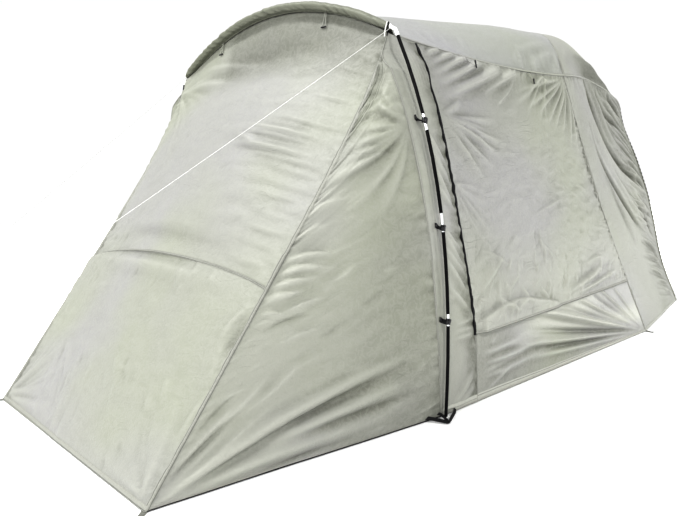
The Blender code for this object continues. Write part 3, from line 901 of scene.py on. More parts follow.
def rope_finish(name, colour):
    """Braided cord."""
    finish = Finish(name, colour, 0.8, Sheen_Weight=0.15, Specular_IOR_Level=0.3)
    split = finish.node("SeparateXYZ", _0=finish.places.outputs["UV"])
    along = finish.math("MULTIPLY", split.outputs[0], 2 * math.pi / 0.006)
    around = finish.math("MULTIPLY", split.outputs[1], 2 * math.pi / 0.01)
    one = finish.math("SINE", finish.math("ADD", along, around))
    two = finish.math("SINE", finish.math("SUBTRACT", along, around))
    braid = finish.math("MAXIMUM", one, two)
    # Painted shade in the braid's grooves: darker where the strands dip
    finish.link(finish.blend(finish.stretch(braid, -1.0, 1.0), scaled(colour, 0.72), colour), "Base Color")
    finish.link(finish.stretch(braid, -1.0, 1.0, 0.9, 0.72), "Roughness")
    finish.link(finish.bump(braid, 0.0006, 0.8), "Normal")
    return finish.material


def zip_finish(name, colour):
    """A zip's coil: close teeth across a shining chain."""
    finish = Finish(name, colour, 0.35, Specular_IOR_Level=0.5)
    teeth = finish.waves(0, 0.0022)
    dust = finish.grain(300.0, 3.0, 0.6)
    finish.link(finish.blend(finish.stretch(dust, 0.5, 0.8, 0.0, 0.4), colour, scaled(colour, 3.0)),
                "Base Color")
    finish.link(finish.stretch(teeth, -1.0, 1.0, 0.5, 0.3), "Roughness")
    finish.link(finish.bump(teeth, 0.0005, 0.9), "Normal")
    return finish.material


SAGE = (0.262, 0.265, 0.239)
# The roof's copy of the sage is a little greyer: painted sky light on the top
SAGE_ROOF = (0.262, 0.265, 0.253)
# The sage darkened as painted shade, for the band round the bow, its hem and the mouth's casing
PAINTED_SHADE_SAGE = (0.165, 0.170, 0.138)
BLACK = (0.006, 0.006, 0.0065)

sage = cloth_finish("sage_cloth", SAGE, wear_and_painted_shade=0.5)
sage_front = cloth_finish("sage_cloth_front", SAGE, wear_and_painted_shade=0.3)
sage_side = cloth_finish("sage_cloth_side", SAGE, crumple=0.8, wear_and_painted_shade=0.5)
sage_gusset = cloth_finish("sage_cloth_gusset", SAGE, crumple=0.6, wear_and_painted_shade=0.45)
# The skirt's copy of the sage is lighter: painted light
sage_skirt = cloth_finish("sage_cloth_skirt", scaled(SAGE, 1.15), wear_and_painted_shade=0.5)
sage_roof = cloth_finish("sage_cloth_roof", SAGE_ROOF, crumple=0.5)
painted_shade_cloth = cloth_finish("shaded_cloth", PAINTED_SHADE_SAGE, crumple=0.4, wear_and_painted_shade=0.9)
seam_sage = seam_finish("sage_seam", SAGE)
seam_wide = seam_finish("sage_wide_seam", SAGE, 0.0095)
seam_pale = seam_finish("sage_hem", scaled(SAGE, 1.35), 0.0205)
piping_sage = cloth_finish("sage_piping", scaled(SAGE, 1.12), crumple=0.3)
painted_shade_seam = seam_finish("shaded_seam", scaled(PAINTED_SHADE_SAGE, 1.3))
black_pole = painted_finish("black_pole", BLACK, 0.35, (0.06, 0.06, 0.06))
bright_metal = painted_finish("bright_metal", (0.78, 0.79, 0.80), 0.30, (0.5, 0.51, 0.53), 1.0)
white_paint = painted_finish("white_paint", (0.80, 0.80, 0.79), 0.35, (0.6, 0.6, 0.58))
black_plastic = plastic_finish("black_plastic", (0.014, 0.014, 0.015))
black_webbing = webbing_finish("black_webbing", (0.016, 0.016, 0.017))
olive_webbing = webbing_finish("sage_webbing", scaled(SAGE, 0.62))
white_rope = rope_finish("white_rope", (0.78, 0.78, 0.76))
zip_black = zip_finish("zip_coil", (0.01, 0.01, 0.011))


# Panels and their folds

def fold_front(panel):
    """Tension across the sloping front, strongest where it is sewn to the near gusset."""
    panel.crinkle(0.014, 0.6, 1.4, 20, seed=1)
    panel.crinkle(0.0016, 0.07, 1.8, 0, seed=2)
    panel.crinkle(0.0025, 0.055, 5.0, 3, panel.window(0.2, 1.1, 0.5, 0.92, 0.3), seed=3)
    panel.folds((-40, 100, 140, 0.5, (-1.0, 0.84), (-0.4, 0.89), (0.3, 0.9), (1.0, 0.9)),
                (12, 20, 35, 0.4, (-0.9, 0.93), (-0.5, 0.88), (-0.1, 0.84)),
                (10, 20, 35, 0.4, (-0.8, 0.96), (-0.4, 0.91), (0.1, 0.88)))
    streaks = ((0.93, 0.60, 5), (0.895, 0.66, 5), (0.865, 0.5, 5), (0.84, 0.58, 6), (0.81, 0.52, 6),
               (0.785, 0.42, 7), (0.76, 0.48, 6), (0.735, 0.35, 7), (0.71, 0.12, 15), (0.672, 0.16, 17),
               (0.65, 0.34, 10), (0.625, 0.2, 10), (0.60, 0.3, 9), (0.58, 0.45, 8), (0.555, 0.5, 7),
               (0.53, 0.4, 8), (0.505, 0.55, 8), (0.48, 0.5, 7), (0.455, 0.62, 7), (0.43, 0.56, 7))
    for number, (level, reach, size) in enumerate(streaks):
        crisp = number % 3 == 1
        level += 0.006 * math.sin(4.7 * number)
        strong = size > 14 or crisp
        reach = reach if strong else 0.35 + 0.65 * reach + 0.10 * math.sin(2.9 * number)
        size = size if strong else size * 0.5
        path = [(0.998, level), (0.5 * (1 + reach), level - 0.012), (reach, level - 0.004)]
        panel.fold(path, size * 0.0010, 0.007 if crisp else 0.010, 0.028, 0.35 if size < 15 else 0.55, crisp)
    panel.folds((16, 10, 30, 0.4, (0.42, 0.665), (0.3, 0.672), (0.14, 0.69)),
                (14, 6, 30, 0.5, (0.9, 0.69), (0.5, 0.682), (0.05, 0.70)),
                sharp=True)
    panel.folds((-16, 12, 22, 0.5, (0.985, 0.36), (0.965, 0.29), (0.95, 0.22)),
                (10, 8, 22, 0.5, (0.985, 0.375), (0.92, 0.33), (0.89, 0.27)))
    panel.fold([(0.985, 0.30), (0.95, 0.25), (0.94, 0.2)], 0.007, 0.005, 0.012, sharp=True)
    panel.folds((9, 10, 16, 0.5, (0.99, 0.21), (0.965, 0.16), (0.955, 0.1)),
                (-20, 50, 80, 0.5, (-0.95, 0.43), (-0.5, 0.45), (0.1, 0.44), (0.8, 0.43)),
                (14, 28, 50, 0.5, (-0.95, 0.385), (-0.4, 0.375), (0.3, 0.37), (0.9, 0.375)))
    panel.creases(30, 0.12, 0.007, 0.008, 85, 70, (-0.85, 0.6), (0.33, 0.395), seed=1)
    panel.creases(20, 0.10, 0.007, 0.008, 60, 90, (-0.98, -0.6), (0.40, 0.5), seed=2)
    panel.creases(40, 0.20, 0.007, 0.009, 120, 30, (-0.6, 0.8), (0.01, 0.17), seed=3)
    panel.creases(40, 0.14, 0.004, 0.009, 10, 60, (-0.6, 0.95), (0.05, 0.85), seed=4)
    # Painted shade across the top of the front, under the bow
    panel.shade += 1.4 * panel.window(-0.4, 1.5, 0.86, 2.0, 0.12)
    panel.fan((-0.98, 0.93), (-0.2, 0.9), (-0.55, 0.62), 6, 0.010, 0.03, 1)
    panel.fan((0.97, 0.015), (0.2, 0.05), (0.72, 0.24), 8, 0.010, 0.03, 3)
    panel.fan((-0.97, 0.015), (-0.2, 0.05), (-0.72, 0.24), 8, 0.010, 0.03, 4)
    panel.pucker("u1", 0.010, 0.028, 0.06, 7, slope=0.25)
    panel.pucker("u0", 0.008, 0.03, 0.06, 8, slope=-0.25)


def fold_gusset(panel):
    """Drag lines from the front corner, the clips and the middle of the front seam."""
    panel.bulge(0.026 if panel.side > 0 else 0.004)
    panel.crinkle(0.008, 0.45, 1.3, 40, seed=1)
    panel.crinkle(0.0014, 0.06, 2.4, 15, seed=2)
    corner = (0.0, 0.0)
    panel.folds((-30, 32, 55, 0.5, corner, (0.36, 0.092), (0.6, 0.137), (0.9, 0.185)),
                (18, 30, 45, 0.55, corner, (0.3, 0.118), (0.6, 0.168), (0.97, 0.215)),
                spread=True)
    panel.folds((18, 24, 30, 0.7, corner, (0.22, 0.07), (0.4, 0.083), (0.62, 0.108), (0.88, 0.135)),
                (-14, 22, 30, 0.5, (0.3, 0.05), (0.5, 0.068), (0.75, 0.085), (0.97, 0.10)),
                (12, 22, 26, 0.4, corner, (0.2, 0.03), (0.5, 0.043), (0.8, 0.052)),
                (-8, 12, 16, 0.5, (0.3, 0.008), (0.45, 0.015), (0.62, 0.024)),
                (14, 14, 24, 0.5, corner, (0.1, 0.052), (0.24, 0.11)),
                (10, 12, 22, 0.5, corner, (0.06, 0.06), (0.16, 0.13)))
    panel.folds((14, 7, 24, 0.7, (0.15, 0.135), (0.24, 0.175), (0.33, 0.235)),
                (12, 8, 22, 0.5, (0.08, 0.12), (0.15, 0.165), (0.22, 0.225)),
                (8, 7, 18, 0.5, (0.05, 0.17), (0.1, 0.195), (0.16, 0.2)),
                sharp=True)
    clip = (0.99, 0.765)
    for end, size in (((0.0, 0.615), 26), ((0.02, 0.66), 14), ((0.05, 0.70), 15), ((0.1, 0.745), 12),
                      ((0.3, 0.82), 13), ((0.42, 0.87), 9), ((0.3, 0.55), 10), ((0.55, 0.52), 8)):
        panel.fold(bent(clip, end, 0.0, -0.008), size * 0.0012, 0.020, 0.045, peak=0.55, spread=True)
    panel.fold([(0.93, 0.735), (0.45, 0.683), (0.1, 0.632)], -0.016, 0.022, 0.032, peak=0.5)
    for start, end, size in (((0.0, 0.455), (0.36, 0.462), 14), ((0.0, 0.425), (0.34, 0.445), 12),
                             ((0.0, 0.40), (0.33, 0.41), 13), ((0.0, 0.375), (0.28, 0.38), 9),
                             ((0.1, 0.43), (0.4, 0.425), 8), ((0.0, 0.50), (0.25, 0.53), 8),
                             ((0.0, 0.56), (0.3, 0.585), 7)):
        panel.fold(bent(start, end, 0.0, 0.012), size * 0.0013, 0.010, 0.026, peak=0.4)
    for size, *route in ((-15, (0.01, 0.02), (0.06, 0.09), (0.17, 0.165)),
                         (12, (0.015, 0.05), (0.06, 0.12), (0.15, 0.19)),
                         (11, (0.03, 0.01), (0.14, 0.085), (0.30, 0.16)),
                         (-9, (0.02, 0.11), (0.06, 0.16), (0.13, 0.215)),
                         (14, (0.12, 0.34), (0.24, 0.365), (0.38, 0.37)),
                         (-12, (0.05, 0.30), (0.2, 0.335), (0.36, 0.33)),
                         (9, (0.16, 0.27), (0.28, 0.30), (0.42, 0.30)),
                         (9, (0.30, 0.40), (0.40, 0.405), (0.5, 0.44)),
                         (10, (0.02, 0.345), (0.1, 0.35), (0.2, 0.33))):
        panel.fold(route, size * 0.001, 0.0055, 0.020, peak=0.5, sharp=True)
    panel.creases(26, 0.16, 0.0045, 0.006, 18, 30, (0.04, 0.45), (0.22, 0.45), seed=3)
    panel.creases(26, 0.20, 0.004, 0.006, 12, 20, (0.3, 0.97), (0.02, 0.2), seed=4)
    panel.creases(34, 0.20, 0.0042, 0.007, 25, 35, (0.05, 0.95), (0.3, 0.85), seed=5)
    panel.creases(14, 0.12, 0.006, 0.009, 35, 50, (0.1, 0.8), (0.78, 0.93), seed=6)
    panel.pucker("u0", 0.012, 0.028, 0.06, 5, slope=-0.3)
    # Painted shade and painted light: paler along the front seam, darker towards the pole low down, less pale
    # near the top
    panel.shade += 1.5 * smooth((panel.u - 0.05) / 0.8) * panel.window(-0.5, 1.5, -0.5, 0.62, 0.25) - 0.9
    panel.shade += 1.1 * smooth((panel.v - 0.58) / 0.15)
    panel.pucker("u1", 0.005, 0.035, 0.05, 6)


def fold_strip(panel):
    """The narrow strip behind the pole, pulled by its clips."""
    panel.crinkle(0.0016, 0.07, 1.5, 70, seed=1)
    panel.fold([(0.19, 0.03), (0.19, 0.3), (0.2, 0.6), (0.24, 0.93)], 0.006, 0.005, 0.008, sharp=True)
    for level in (0.203, 0.222, 0.243):
        panel.fold([(0.34, level), (0.7, level + 0.006), (1.0, level + 0.002)], 0.012, 0.010, 0.018, peak=0.5)
    panel.folds((16, 12, 24, 0.6, (0.2, 0.003), (0.55, 0.05), (0.97, 0.12)),
                (12, 12, 20, 0.6, (0.25, 0.0), (0.65, 0.03), (1.0, 0.078)))
    pulls = ((0.77, 0.13), (0.75, 0.16), (0.72, 0.13), (0.69, 0.16), (0.63, 0.1), (0.52, 0.1), (0.5, 0.12),
             (0.46, 0.1), (0.43, 0.12), (0.36, 0.1))
    for level, drop in pulls:
        panel.fold([(0.36, level), (0.68, level - drop * 0.5), (0.97, level - drop)], 0.018, 0.009, 0.020,
                   peak=0.4)
    for start in (0.36, 0.44, 0.52, 0.60, 0.68, 0.76):
        panel.fold([(start, 0.992), (start + 0.13, 0.925), (start + 0.25, 0.85)], 0.015, 0.007, 0.013,
                   peak=0.45)
    panel.creases(16, 0.07, 0.004, 0.008, 120, 60, (0.35, 1.0), (0.2, 0.8), seed=2)
    panel.pucker("u1", 0.012, 0.04, 0.05, 3)
    panel.pucker("u0", 0.003, 0.03, 0.04, 4)
    # Painted shade: darker towards the zip, paler towards the pole
    panel.shade += 1.7 * smooth((panel.u - 0.55) / 0.4) - 0.5


def fold_wall(panel):
    """Drag folds under the eave, a fan from the top corner, and slack cloth over the sill."""
    panel.crinkle(0.010, 0.5, 1.2, 60, seed=1)
    panel.crinkle(0.0020, 0.06, 3.0, 10, panel.window(0.05, 1.0, 0.3, 0.8, 0.2), seed=2)
    panel.crinkle(0.0014, 0.04, 2.6, 165, panel.window(0.4, 1.02, 0.3, 0.8, 0.2), seed=3)
    drags = (((0.50, 0.998), (0.27, 0.925), (0.02, 0.845), 30, 24, 46),
             ((0.37, 0.998), (0.18, 0.94), (0.01, 0.882), 24, 18, 36),
             ((0.28, 0.998), (0.13, 0.955), (0.01, 0.912), 20, 15, 28),
             ((0.20, 0.998), (0.1, 0.97), (0.01, 0.941), 15, 12, 20),
             ((0.12, 0.998), (0.06, 0.982), (0.01, 0.964), 11, 9, 15),
             ((0.62, 0.998), (0.45, 0.95), (0.25, 0.885), 20, 18, 34))
    for *path, size, width, other in drags:
        panel.fold(path, size * 0.0015, width * 0.001, other * 0.001, peak=0.4)
    panel.fold([(0.575, 0.98), (0.46, 0.915), (0.355, 0.855)], 0.018, 0.007, 0.026, peak=0.6, sharp=True)
    corner = (0.99, 0.99)
    for end, size in (((0.55, 0.86), 12), ((0.62, 0.835), 14), ((0.7, 0.80), 12), ((0.77, 0.79), 18),
                      ((0.83, 0.76), 10), ((0.88, 0.70), 12), ((0.93, 0.66), 9), ((0.5, 0.92), 10)):
        panel.fold(bent(corner, end, 0.01, 0.005), size * 0.0013, 0.013, 0.030, peak=0.35, spread=True)
    panel.fan((0.8, 0.995), (0.45, 0.87), (0.7, 0.8), 6, 0.012, 0.02, 2)
    for end, size in (((0.33, 0.705), 15), ((0.4, 0.74), 9), ((0.27, 0.66), 9), ((0.3, 0.78), 8),
                      ((0.36, 0.82), 8), ((0.2, 0.62), 8), ((0.16, 0.87), 7)):
        panel.fold(bent((0.0, 0.8), end, 0.0, -0.006), size * 0.0015, 0.010, 0.028, peak=0.45)
    panel.fan((0.0, 0.62), (0.25, 0.58), (0.16, 0.4), 5, 0.008, 0.02, 4)
    panel.folds((9, 6, 16, 0.5, (0.4, 0.505), (0.55, 0.535), (0.72, 0.563)),
                (9, 6, 16, 0.5, (0.42, 0.445), (0.47, 0.395), (0.53, 0.34)),
                (18, 8, 26, 0.5, (0.23, 0.43), (0.13, 0.36), (0.03, 0.295)),
                (12, 8, 26, 0.5, (0.05, 0.44), (0.14, 0.42), (0.24, 0.36)),
                sharp=True)
    panel.creases(60, 0.16, 0.007, 0.007, 55, 60, (0.03, 0.5), (0.21, 0.45), seed=4)
    panel.creases(44, 0.15, 0.007, 0.007, 45, 50, (0.5, 0.98), (0.21, 0.38), seed=5)
    # Painted light in the lower half of the door, a little painted shade under the eave
    panel.shade += 0.1 * smooth((panel.v - 0.75) / 0.2) - 1.0 * smooth((0.5 - panel.v) / 0.25)
    panel.creases(70, 0.18, 0.0035, 0.007, 8, 30, (0.03, 0.98), (0.36, 0.85), seed=6)
    panel.creases(40, 0.10, 0.0045, 0.007, 160, 50, (0.6, 1.0), (0.35, 0.8), seed=7)
    panel.folds((26, 16, 34, 0.6, (0.5, 0.228), (0.68, 0.258), (0.86, 0.292)),
                (18, 11, 20, 0.5, (0.52, 0.216), (0.75, 0.236), (0.985, 0.262)))
    panel.fold([(0.7, 0.30), (0.8, 0.33), (0.9, 0.31)], 0.012, 0.008, 0.026, sharp=True)
    panel.folds((14, 10, 20, 0.5, (0.38, 0.285), (0.42, 0.228)),
                (13, 10, 22, 0.5, (0.26, 0.31), (0.32, 0.238)),
                (12, 10, 22, 0.5, (0.12, 0.30), (0.2, 0.25), (0.25, 0.22)))
    flap = panel.distance([(0.02, 0.235), (0.1, 0.255), (0.2, 0.272), (0.3, 0.262), (0.42, 0.232)])[1]
    upwards = np.sign(flap[-1].mean() - flap[0].mean())
    panel.push += 0.016 * smooth(0.5 - upwards * flap / 0.012) * panel.window(0.03, 0.46, 0.1, 0.4, 0.06)
    panel.push += 0.006 * panel.window(-0.1, 1.1, 0.1, 0.215, 0.03)
    panel.pucker("u1", 0.018, 0.020, 0.026, 6)
    panel.pucker("v1", 0.009, 0.03, 0.04, 7, slope=0.6)
    panel.pucker("u0", 0.006, 0.035, 0.05, 8)


def fold_skirt(panel):
    """Folds that fan out from the rear peg."""
    panel.crinkle(0.004, 0.25, 1.4, 20, seed=1)
    peg = (0.998, 0.004)
    for end, size, width, other in (((0.18, 0.262), 34, 0.022, 0.034), ((0.22, 0.168), -24, 0.015, 0.024),
                                    ((0.08, 0.147), 20, 0.018, 0.030), ((0.25, 0.095), -10, 0.016, 0.022),
                                    ((0.15, 0.080), 10, 0.016, 0.024), ((0.42, 0.226), -11, 0.011, 0.020),
                                    ((0.48, 0.265), 14, 0.009, 0.020), ((0.60, 0.280), -9, 0.008, 0.018),
                                    ((0.68, 0.288), 11, 0.008, 0.018), ((0.83, 0.260), 8, 0.007, 0.016)):
        panel.fold(bent(peg, end, 0.0, -0.004), size * 0.001, width, other, peak=0.6, spread=True)
    for level, reach, size in ((0.135, 0.30, 8), (0.104, 0.42, 12), (0.082, 0.24, 6), (0.064, 0.36, 8)):
        panel.fold([(0.01, level), (reach * 0.5, level + 0.004), (reach, level + 0.02)], size * 0.001, 0.012,
                   0.020, peak=0.3)
    panel.fold([(0.02, 0.015), (0.1, 0.05), (0.17, 0.08)], 0.010, 0.006, 0.014, peak=0.6, sharp=True)
    panel.creases(14, 0.10, 0.004, 0.008, 15, 50, (0.05, 0.9), (0.02, 0.18), seed=3)
    panel.pucker("v1", 0.003, 0.04, 0.04, 3)
    # Painted light over the fan's upper middle, painted shade over the rest of the skirt
    painted_light = smooth((panel.u - 0.12) / 0.3) * smooth((panel.v - 0.02 - 0.12 * (1 - panel.u)) / 0.05)
    painted_light = painted_light * (1 - 0.75 * smooth((panel.u - 0.55) / 0.3) * smooth((panel.v - 0.08) / 0.06))
    panel.shade += 0.5 - 2.5 * painted_light


def fold_sleeve(panel):
    """Deep drapes from the tailgate's corner, and gathers all along the elastic mouth."""
    panel.crinkle(0.009, 0.3, 1.5, 100, seed=1)
    deep = [(0.26, 1.0), (0.32, 0.93), (0.36, 0.85), (0.38, 0.78), (0.42, 0.733), (0.51, 0.685),
            (0.64, 0.632), (0.80, 0.585), (1.0, 0.53)]
    panel.fold(deep, -0.060, 0.022, 0.050, peak=0.3)
    panel.fold(deep, -0.018, 0.006, 0.014, peak=0.3, sharp=True)
    panel.fold(shifted(deep[:-1], 0.075, 0.035), 0.036, 0.026, 0.036, peak=0.35)
    panel.fold(shifted(deep[1:-1], -0.085, -0.035), 0.024, 0.045, 0.06, peak=0.4)
    panel.folds((-40, 22, 34, 0.3, (0.46, 1.0), (0.51, 0.93), (0.6, 0.865), (0.75, 0.84), (0.9, 0.81)),
                (26, 20, 30, 0.35, (0.56, 1.0), (0.63, 0.935), (0.74, 0.89), (0.92, 0.86)),
                (-26, 18, 28, 0.35, (0.68, 1.0), (0.76, 0.945), (0.95, 0.91)),
                (16, 16, 24, 0.4, (0.8, 1.0), (0.87, 0.965), (1.0, 0.935)))
    long = [(0.19, 0.82), (0.19, 0.75), (0.22, 0.679), (0.27, 0.621), (0.345, 0.562), (0.44, 0.487),
            (0.54, 0.425), (0.635, 0.379), (0.74, 0.345)]
    panel.fold(long, -0.030, 0.014, 0.040, peak=0.6)
    panel.fold(long, -0.012, 0.005, 0.012, peak=0.6, sharp=True)
    panel.fold(shifted(long[1:], 0.06, 0.03), 0.022, 0.020, 0.030, peak=0.6)
    along = [(0.394, 0.604), (0.506, 0.567), (0.6, 0.525), (0.7, 0.475),
             (0.78, 0.417), (0.88, 0.346), (1.0, 0.26)]
    panel.fold(along, -0.018, 0.012, 0.022, peak=0.6)
    panel.fold(shifted(along[:-1], 0.04, 0.025), 0.016, 0.012, 0.020, peak=0.6)
    panel.folds((-14, 10, 18, 0.5, (0.569, 0.613), (0.681, 0.562), (0.788, 0.521), (0.881, 0.483),
                 (0.98, 0.43)))
    pocket = [(0.225, 0.60), (0.275, 0.512), (0.335, 0.429), (0.41, 0.335)]
    panel.fold(pocket, -0.012, 0.040, 0.040)
    drapes = (((0.57, 0.335), (0.75, 0.292), (0.97, 0.205), 20),
              ((0.54, 0.271), (0.72, 0.242), (0.97, 0.18), 14),
              ((0.56, 0.200), (0.75, 0.167), (0.97, 0.11), 14),
              ((0.70, 0.138), (0.86, 0.108), (0.99, 0.072), 10),
              ((0.82, 0.087), (0.94, 0.042), (1.0, 0.012), 8))
    for *path, size in drapes:
        panel.fold(path, size * 0.0014, 0.016, 0.006, peak=0.45)
        # Painted shadow under each drape
        below = panel.distance(shifted(path, 0.0, -0.02))[1]
        panel.shade += 0.06 * size * np.exp(-(below / 0.011) ** 2)
    rng = np.random.default_rng(11)
    level = 0.03
    while level < 0.99:
        start = rng.uniform(0.52, 0.86) - 0.14 * math.sin(math.pi * level)
        size = rng.uniform(0.014, 0.028) * (1.0 if level > 0.36 else 0.25)
        rise = rng.uniform(0.10, 0.24) * min(1.0, 0.25 + level)
        path = [(start, min(1.0, level + rise)), ((start + 1) / 2, min(1.0, level + rise * 0.38)),
                (1.0, level)]
        panel.fold(path, size, rng.uniform(0.005, 0.008), rng.uniform(0.009, 0.017), peak=0.6)
        level += rng.uniform(0.012, 0.022)
    panel.creases(26, 0.12, 0.005, 0.010, 105, 40, (0.03, 0.5), (0.1, 0.95), seed=2)
    # Painted shade behind the deep fold, in its valley, along the long fold, in the pocket and towards the
    # mouth; painted light low down near the door
    behind = panel.distance(deep)[1]
    behind = -behind if behind[-1, 0] > behind[-1, -1] else behind
    panel.shade += 1.1 * smooth((behind + 0.01) / 0.05) * panel.window(-1, 2, 0.56, 2, 0.1)
    panel.shade += 2.2 * np.exp(-(behind / 0.014) ** 2) * panel.window(-1, 2, 0.62, 2, 0.08)
    panel.shade += 0.7 * np.exp(-(panel.distance(long)[1] / 0.010) ** 2) * panel.window(-1, 0.7, 0.3, 2, 0.1)
    panel.shade += 0.9 * np.exp(-(panel.distance(pocket)[1] / 0.045) ** 2)
    panel.shade += 0.5 * smooth((panel.u - 0.7) / 0.25) * panel.window(-1, 2, 0.1, 2, 0.1)
    panel.shade -= 0.6 * smooth((0.5 - panel.v) / 0.2) * smooth((0.7 - panel.u) / 0.2)
    panel.pucker("u0", 0.009, 0.026, 0.03, 2)
    panel.pucker("v1", 0.010, 0.04, 0.06, 3)


def fold_roof(panel):
    """A taut roof with small pulls at its eaves and its rear corners."""
    panel.crinkle(0.007, 0.5, 1.4, 80, seed=1)
    panel.crinkle(0.0012, 0.08, 2.0, 90, seed=2)
    rng = np.random.default_rng(41)
    for sign in (1, -1):
        for _ in range(16):
            along = rng.uniform(0.5, 0.97)
            reach = rng.uniform(0.05, 0.16)
            path = [(sign * 0.995, along), (sign * (1 - reach / 2), along + 0.02),
                    (sign * (1 - reach), along + 0.05)]
            panel.fold(path, rng.uniform(0.002, 0.008), rng.uniform(0.008, 0.016), rng.uniform(0.016, 0.03),
                       peak=0.3)
        panel.folds((10, 14, 30, 0.6, (sign * 0.985, 0.70), (sign * 0.94, 0.84), (sign * 0.9, 0.985)),
                    (6, 16, 30, 0.6, (sign * 0.95, 0.62), (sign * 0.88, 0.78), (sign * 0.84, 0.97)))
        for along in (0.16, 0.21, 0.27, 0.36):
            panel.fold([(sign * 0.98, along), (sign * 0.88, along + 0.006), (sign * 0.76, along + 0.04)],
                       rng.uniform(0.003, 0.006), 0.012, 0.028, peak=0.4)
    panel.creases(40, 0.12, 0.003, 0.010, 70, 90, (-0.95, 0.95), (0.05, 0.95), seed=3)
    panel.pucker("u1", 0.006, 0.03, 0.04, 3)
    panel.pucker("u0", 0.006, 0.03, 0.04, 4)
    panel.pucker("v1", 0.004, 0.035, 0.03, 5)


def fold_top(panel):
    """The sleeve's top, gathered towards the mouth."""
    panel.crinkle(0.009, 0.35, 1.6, 90, seed=1)
    rng = np.random.default_rng(21)
    across = -0.98
    while across < 0.98:
        start = rng.uniform(0.45, 0.75)
        drift = rng.uniform(-0.04, 0.04)
        panel.fold([(across + drift, start), (across + drift * 0.4, (start + 1) / 2), (across, 1.0)],
                   rng.uniform(0.008, 0.018), rng.uniform(0.008, 0.013), rng.uniform(0.012, 0.018), peak=0.8)
        across += rng.uniform(0.025, 0.055)
    for sign in (1, -1):
        panel.folds((-22, 20, 30, 0.5,
                     (sign * 1.0, 0.2), (sign * 0.965, 0.4), (sign * 0.95, 0.65), (sign * 0.96, 0.9)),
                    (14, 22, 35, 0.5,
                     (sign * 0.97, 0.2), (sign * 0.90, 0.4), (sign * 0.87, 0.65), (sign * 0.87, 0.9)),
                    (9, 12, 20, 0.5, (sign * 0.97, 0.02), (sign * 0.9, 0.1), (sign * 0.86, 0.2)))
    panel.pucker("v0", 0.004, 0.03, 0.03, 2)
    panel.pucker("u1", 0.006, 0.04, 0.05, 3)
    panel.pucker("u0", 0.006, 0.04, 0.05, 4)
    # Painted shade along the sides of the sleeve's top, deepening towards the mouth
    corners = smooth((np.abs(panel.u) - 0.90 + 0.1 * panel.v) / 0.04)
    panel.shade += 2.1 * corners * smooth((panel.v - 0.14) / 0.3)


def fold_brow(panel):
    """Diagonal pleats all round the bow, one side of each steep."""
    rng = np.random.default_rng(5)
    across = -1.0
    while across < 1.15:
        lean = rng.uniform(0.13, 0.21)
        path = [(across, 0.05), (across - lean * 0.4, 1.3), (across - lean * 0.8, 2.6), (across - lean, 3.6)]
        panel.fold(path, rng.uniform(0.007, 0.012), rng.uniform(0.003, 0.005), rng.uniform(0.013, 0.02),
                   peak=0.45)
        across += rng.uniform(0.04, 0.075)
    panel.crinkle(0.0012, 0.03, 2.0, 60, seed=3)


lower = Panel(front_point, 1, FRONT_PITCH, (-1.0, 1.0), (0.0, FRONT_SEAM), seed=3)
upper = Panel(front_point, 1, FRONT_PITCH, (-1.0, 1.0), (FRONT_SEAM, 1.0), seed=3)
for front in (lower, upper):
    fold_front(front)
    front.settle()
cloth_object("front_lower_cloth", lower, "sage_cloth", sage_front, "front_lower_panel")
cloth_object("front_upper_cloth", upper, "sage_cloth", sage_front, "front_upper_panel")

roof = Panel(roof_point, 1, TOP_PITCH, (-1.0, 1.0), seed=4)
fold_roof(roof)
roof.settle()
cloth_object("roof_cloth", roof, "sage_cloth", sage_roof, "roof")
top = Panel(top_point, 1, TOP_PITCH, (-1.0, 1.0), seed=5, depth=0.8)
fold_top(top)
top.settle(("u0", "u1", "v0"))
cloth_object("sleeve_top_cloth", top, "sage_cloth", sage, "sleeve_top")

brow = Panel(brow_point, 1, BROW_PITCH, (-1.0, 1.0), (0.0, len(BROW_SECTION)), seed=6, depth=1.0)
fold_brow(brow)
brow.settle(("v0", "v1"), hold=0.008, limit=0.008)
cloth_object("bow_sleeve_cloth", brow, "shaded_cloth", painted_shade_cloth, "bow_sleeve")

# Each side panel's folds, how it is held, its material, and the end of its node's name
SIDE_PARTS = {
    "gusset": (fold_gusset, {}, sage_gusset, "front_gusset"),
    "strip": (fold_strip, {"limit": 0.014}, sage, "pole_strip"),
    "door": (fold_wall, {"held": ("u0", "u1", "v1")}, sage_side, "side_door"),
    "skirt": (fold_skirt, {"held": ("u0", "u1", "v0")}, sage_skirt, "skirt"),
    "sleeve": (fold_sleeve, {"held": ("u0", "v0", "v1"), "limit": 0.026}, sage_side, "sleeve_side"),
}
panels = {}
for label, side in SIDES.items():
    pitch = NEAR_PITCH if side > 0 else FAR_PITCH
    own = {
        "gusset": Panel(gusset_point, side, pitch, v_range=(0.0, APEX_LEVEL), seed=7 + side,
                        depth=GUSSET_DEPTH[side]),
        "strip": Panel(strip_point, side, pitch, seed=9 + side, depth=1.2),
        "door": Panel(wall_point, side, max(pitch, DOOR_PITCH), v_range=(DOOR_SILL, 1.0), seed=12 + side,
                      depth=1.3),
        "skirt": Panel(wall_point, side, max(pitch, SKIRT_PITCH), v_range=(0.0, DOOR_SILL + SILL_OVERLAP),
                       seed=15 + side),
        "sleeve": Panel(sleeve_point, side, max(pitch, SLEEVE_PITCH), seed=18 + side, depth=1.0),
    }
    for part, (fold_part, holding, _, _) in SIDE_PARTS.items():
        fold_part(own[part])
        own[part].settle(**holding)
    own["skirt"].tuck_behind(own["door"], DOOR_SILL, SILL_TUCK)
    for part, (_, _, material, node) in SIDE_PARTS.items():
        cloth_object(f"{label}_{part}_cloth", own[part], "sage_cloth", material, f"{label}_{node}")
    panels[label] = own


# Seams and hems

NARROW_SEAM = 0.012
STRIP_ROOF_START = 0.32
SILL_SHARE = DOOR_SILL / (DOOR_SILL + SILL_OVERLAP)
FRONT_SPLIT = FRONT_SEAM / APEX_LEVEL
UPPER_APEX = (APEX_LEVEL - FRONT_SEAM) / (1.0 - FRONT_SEAM)
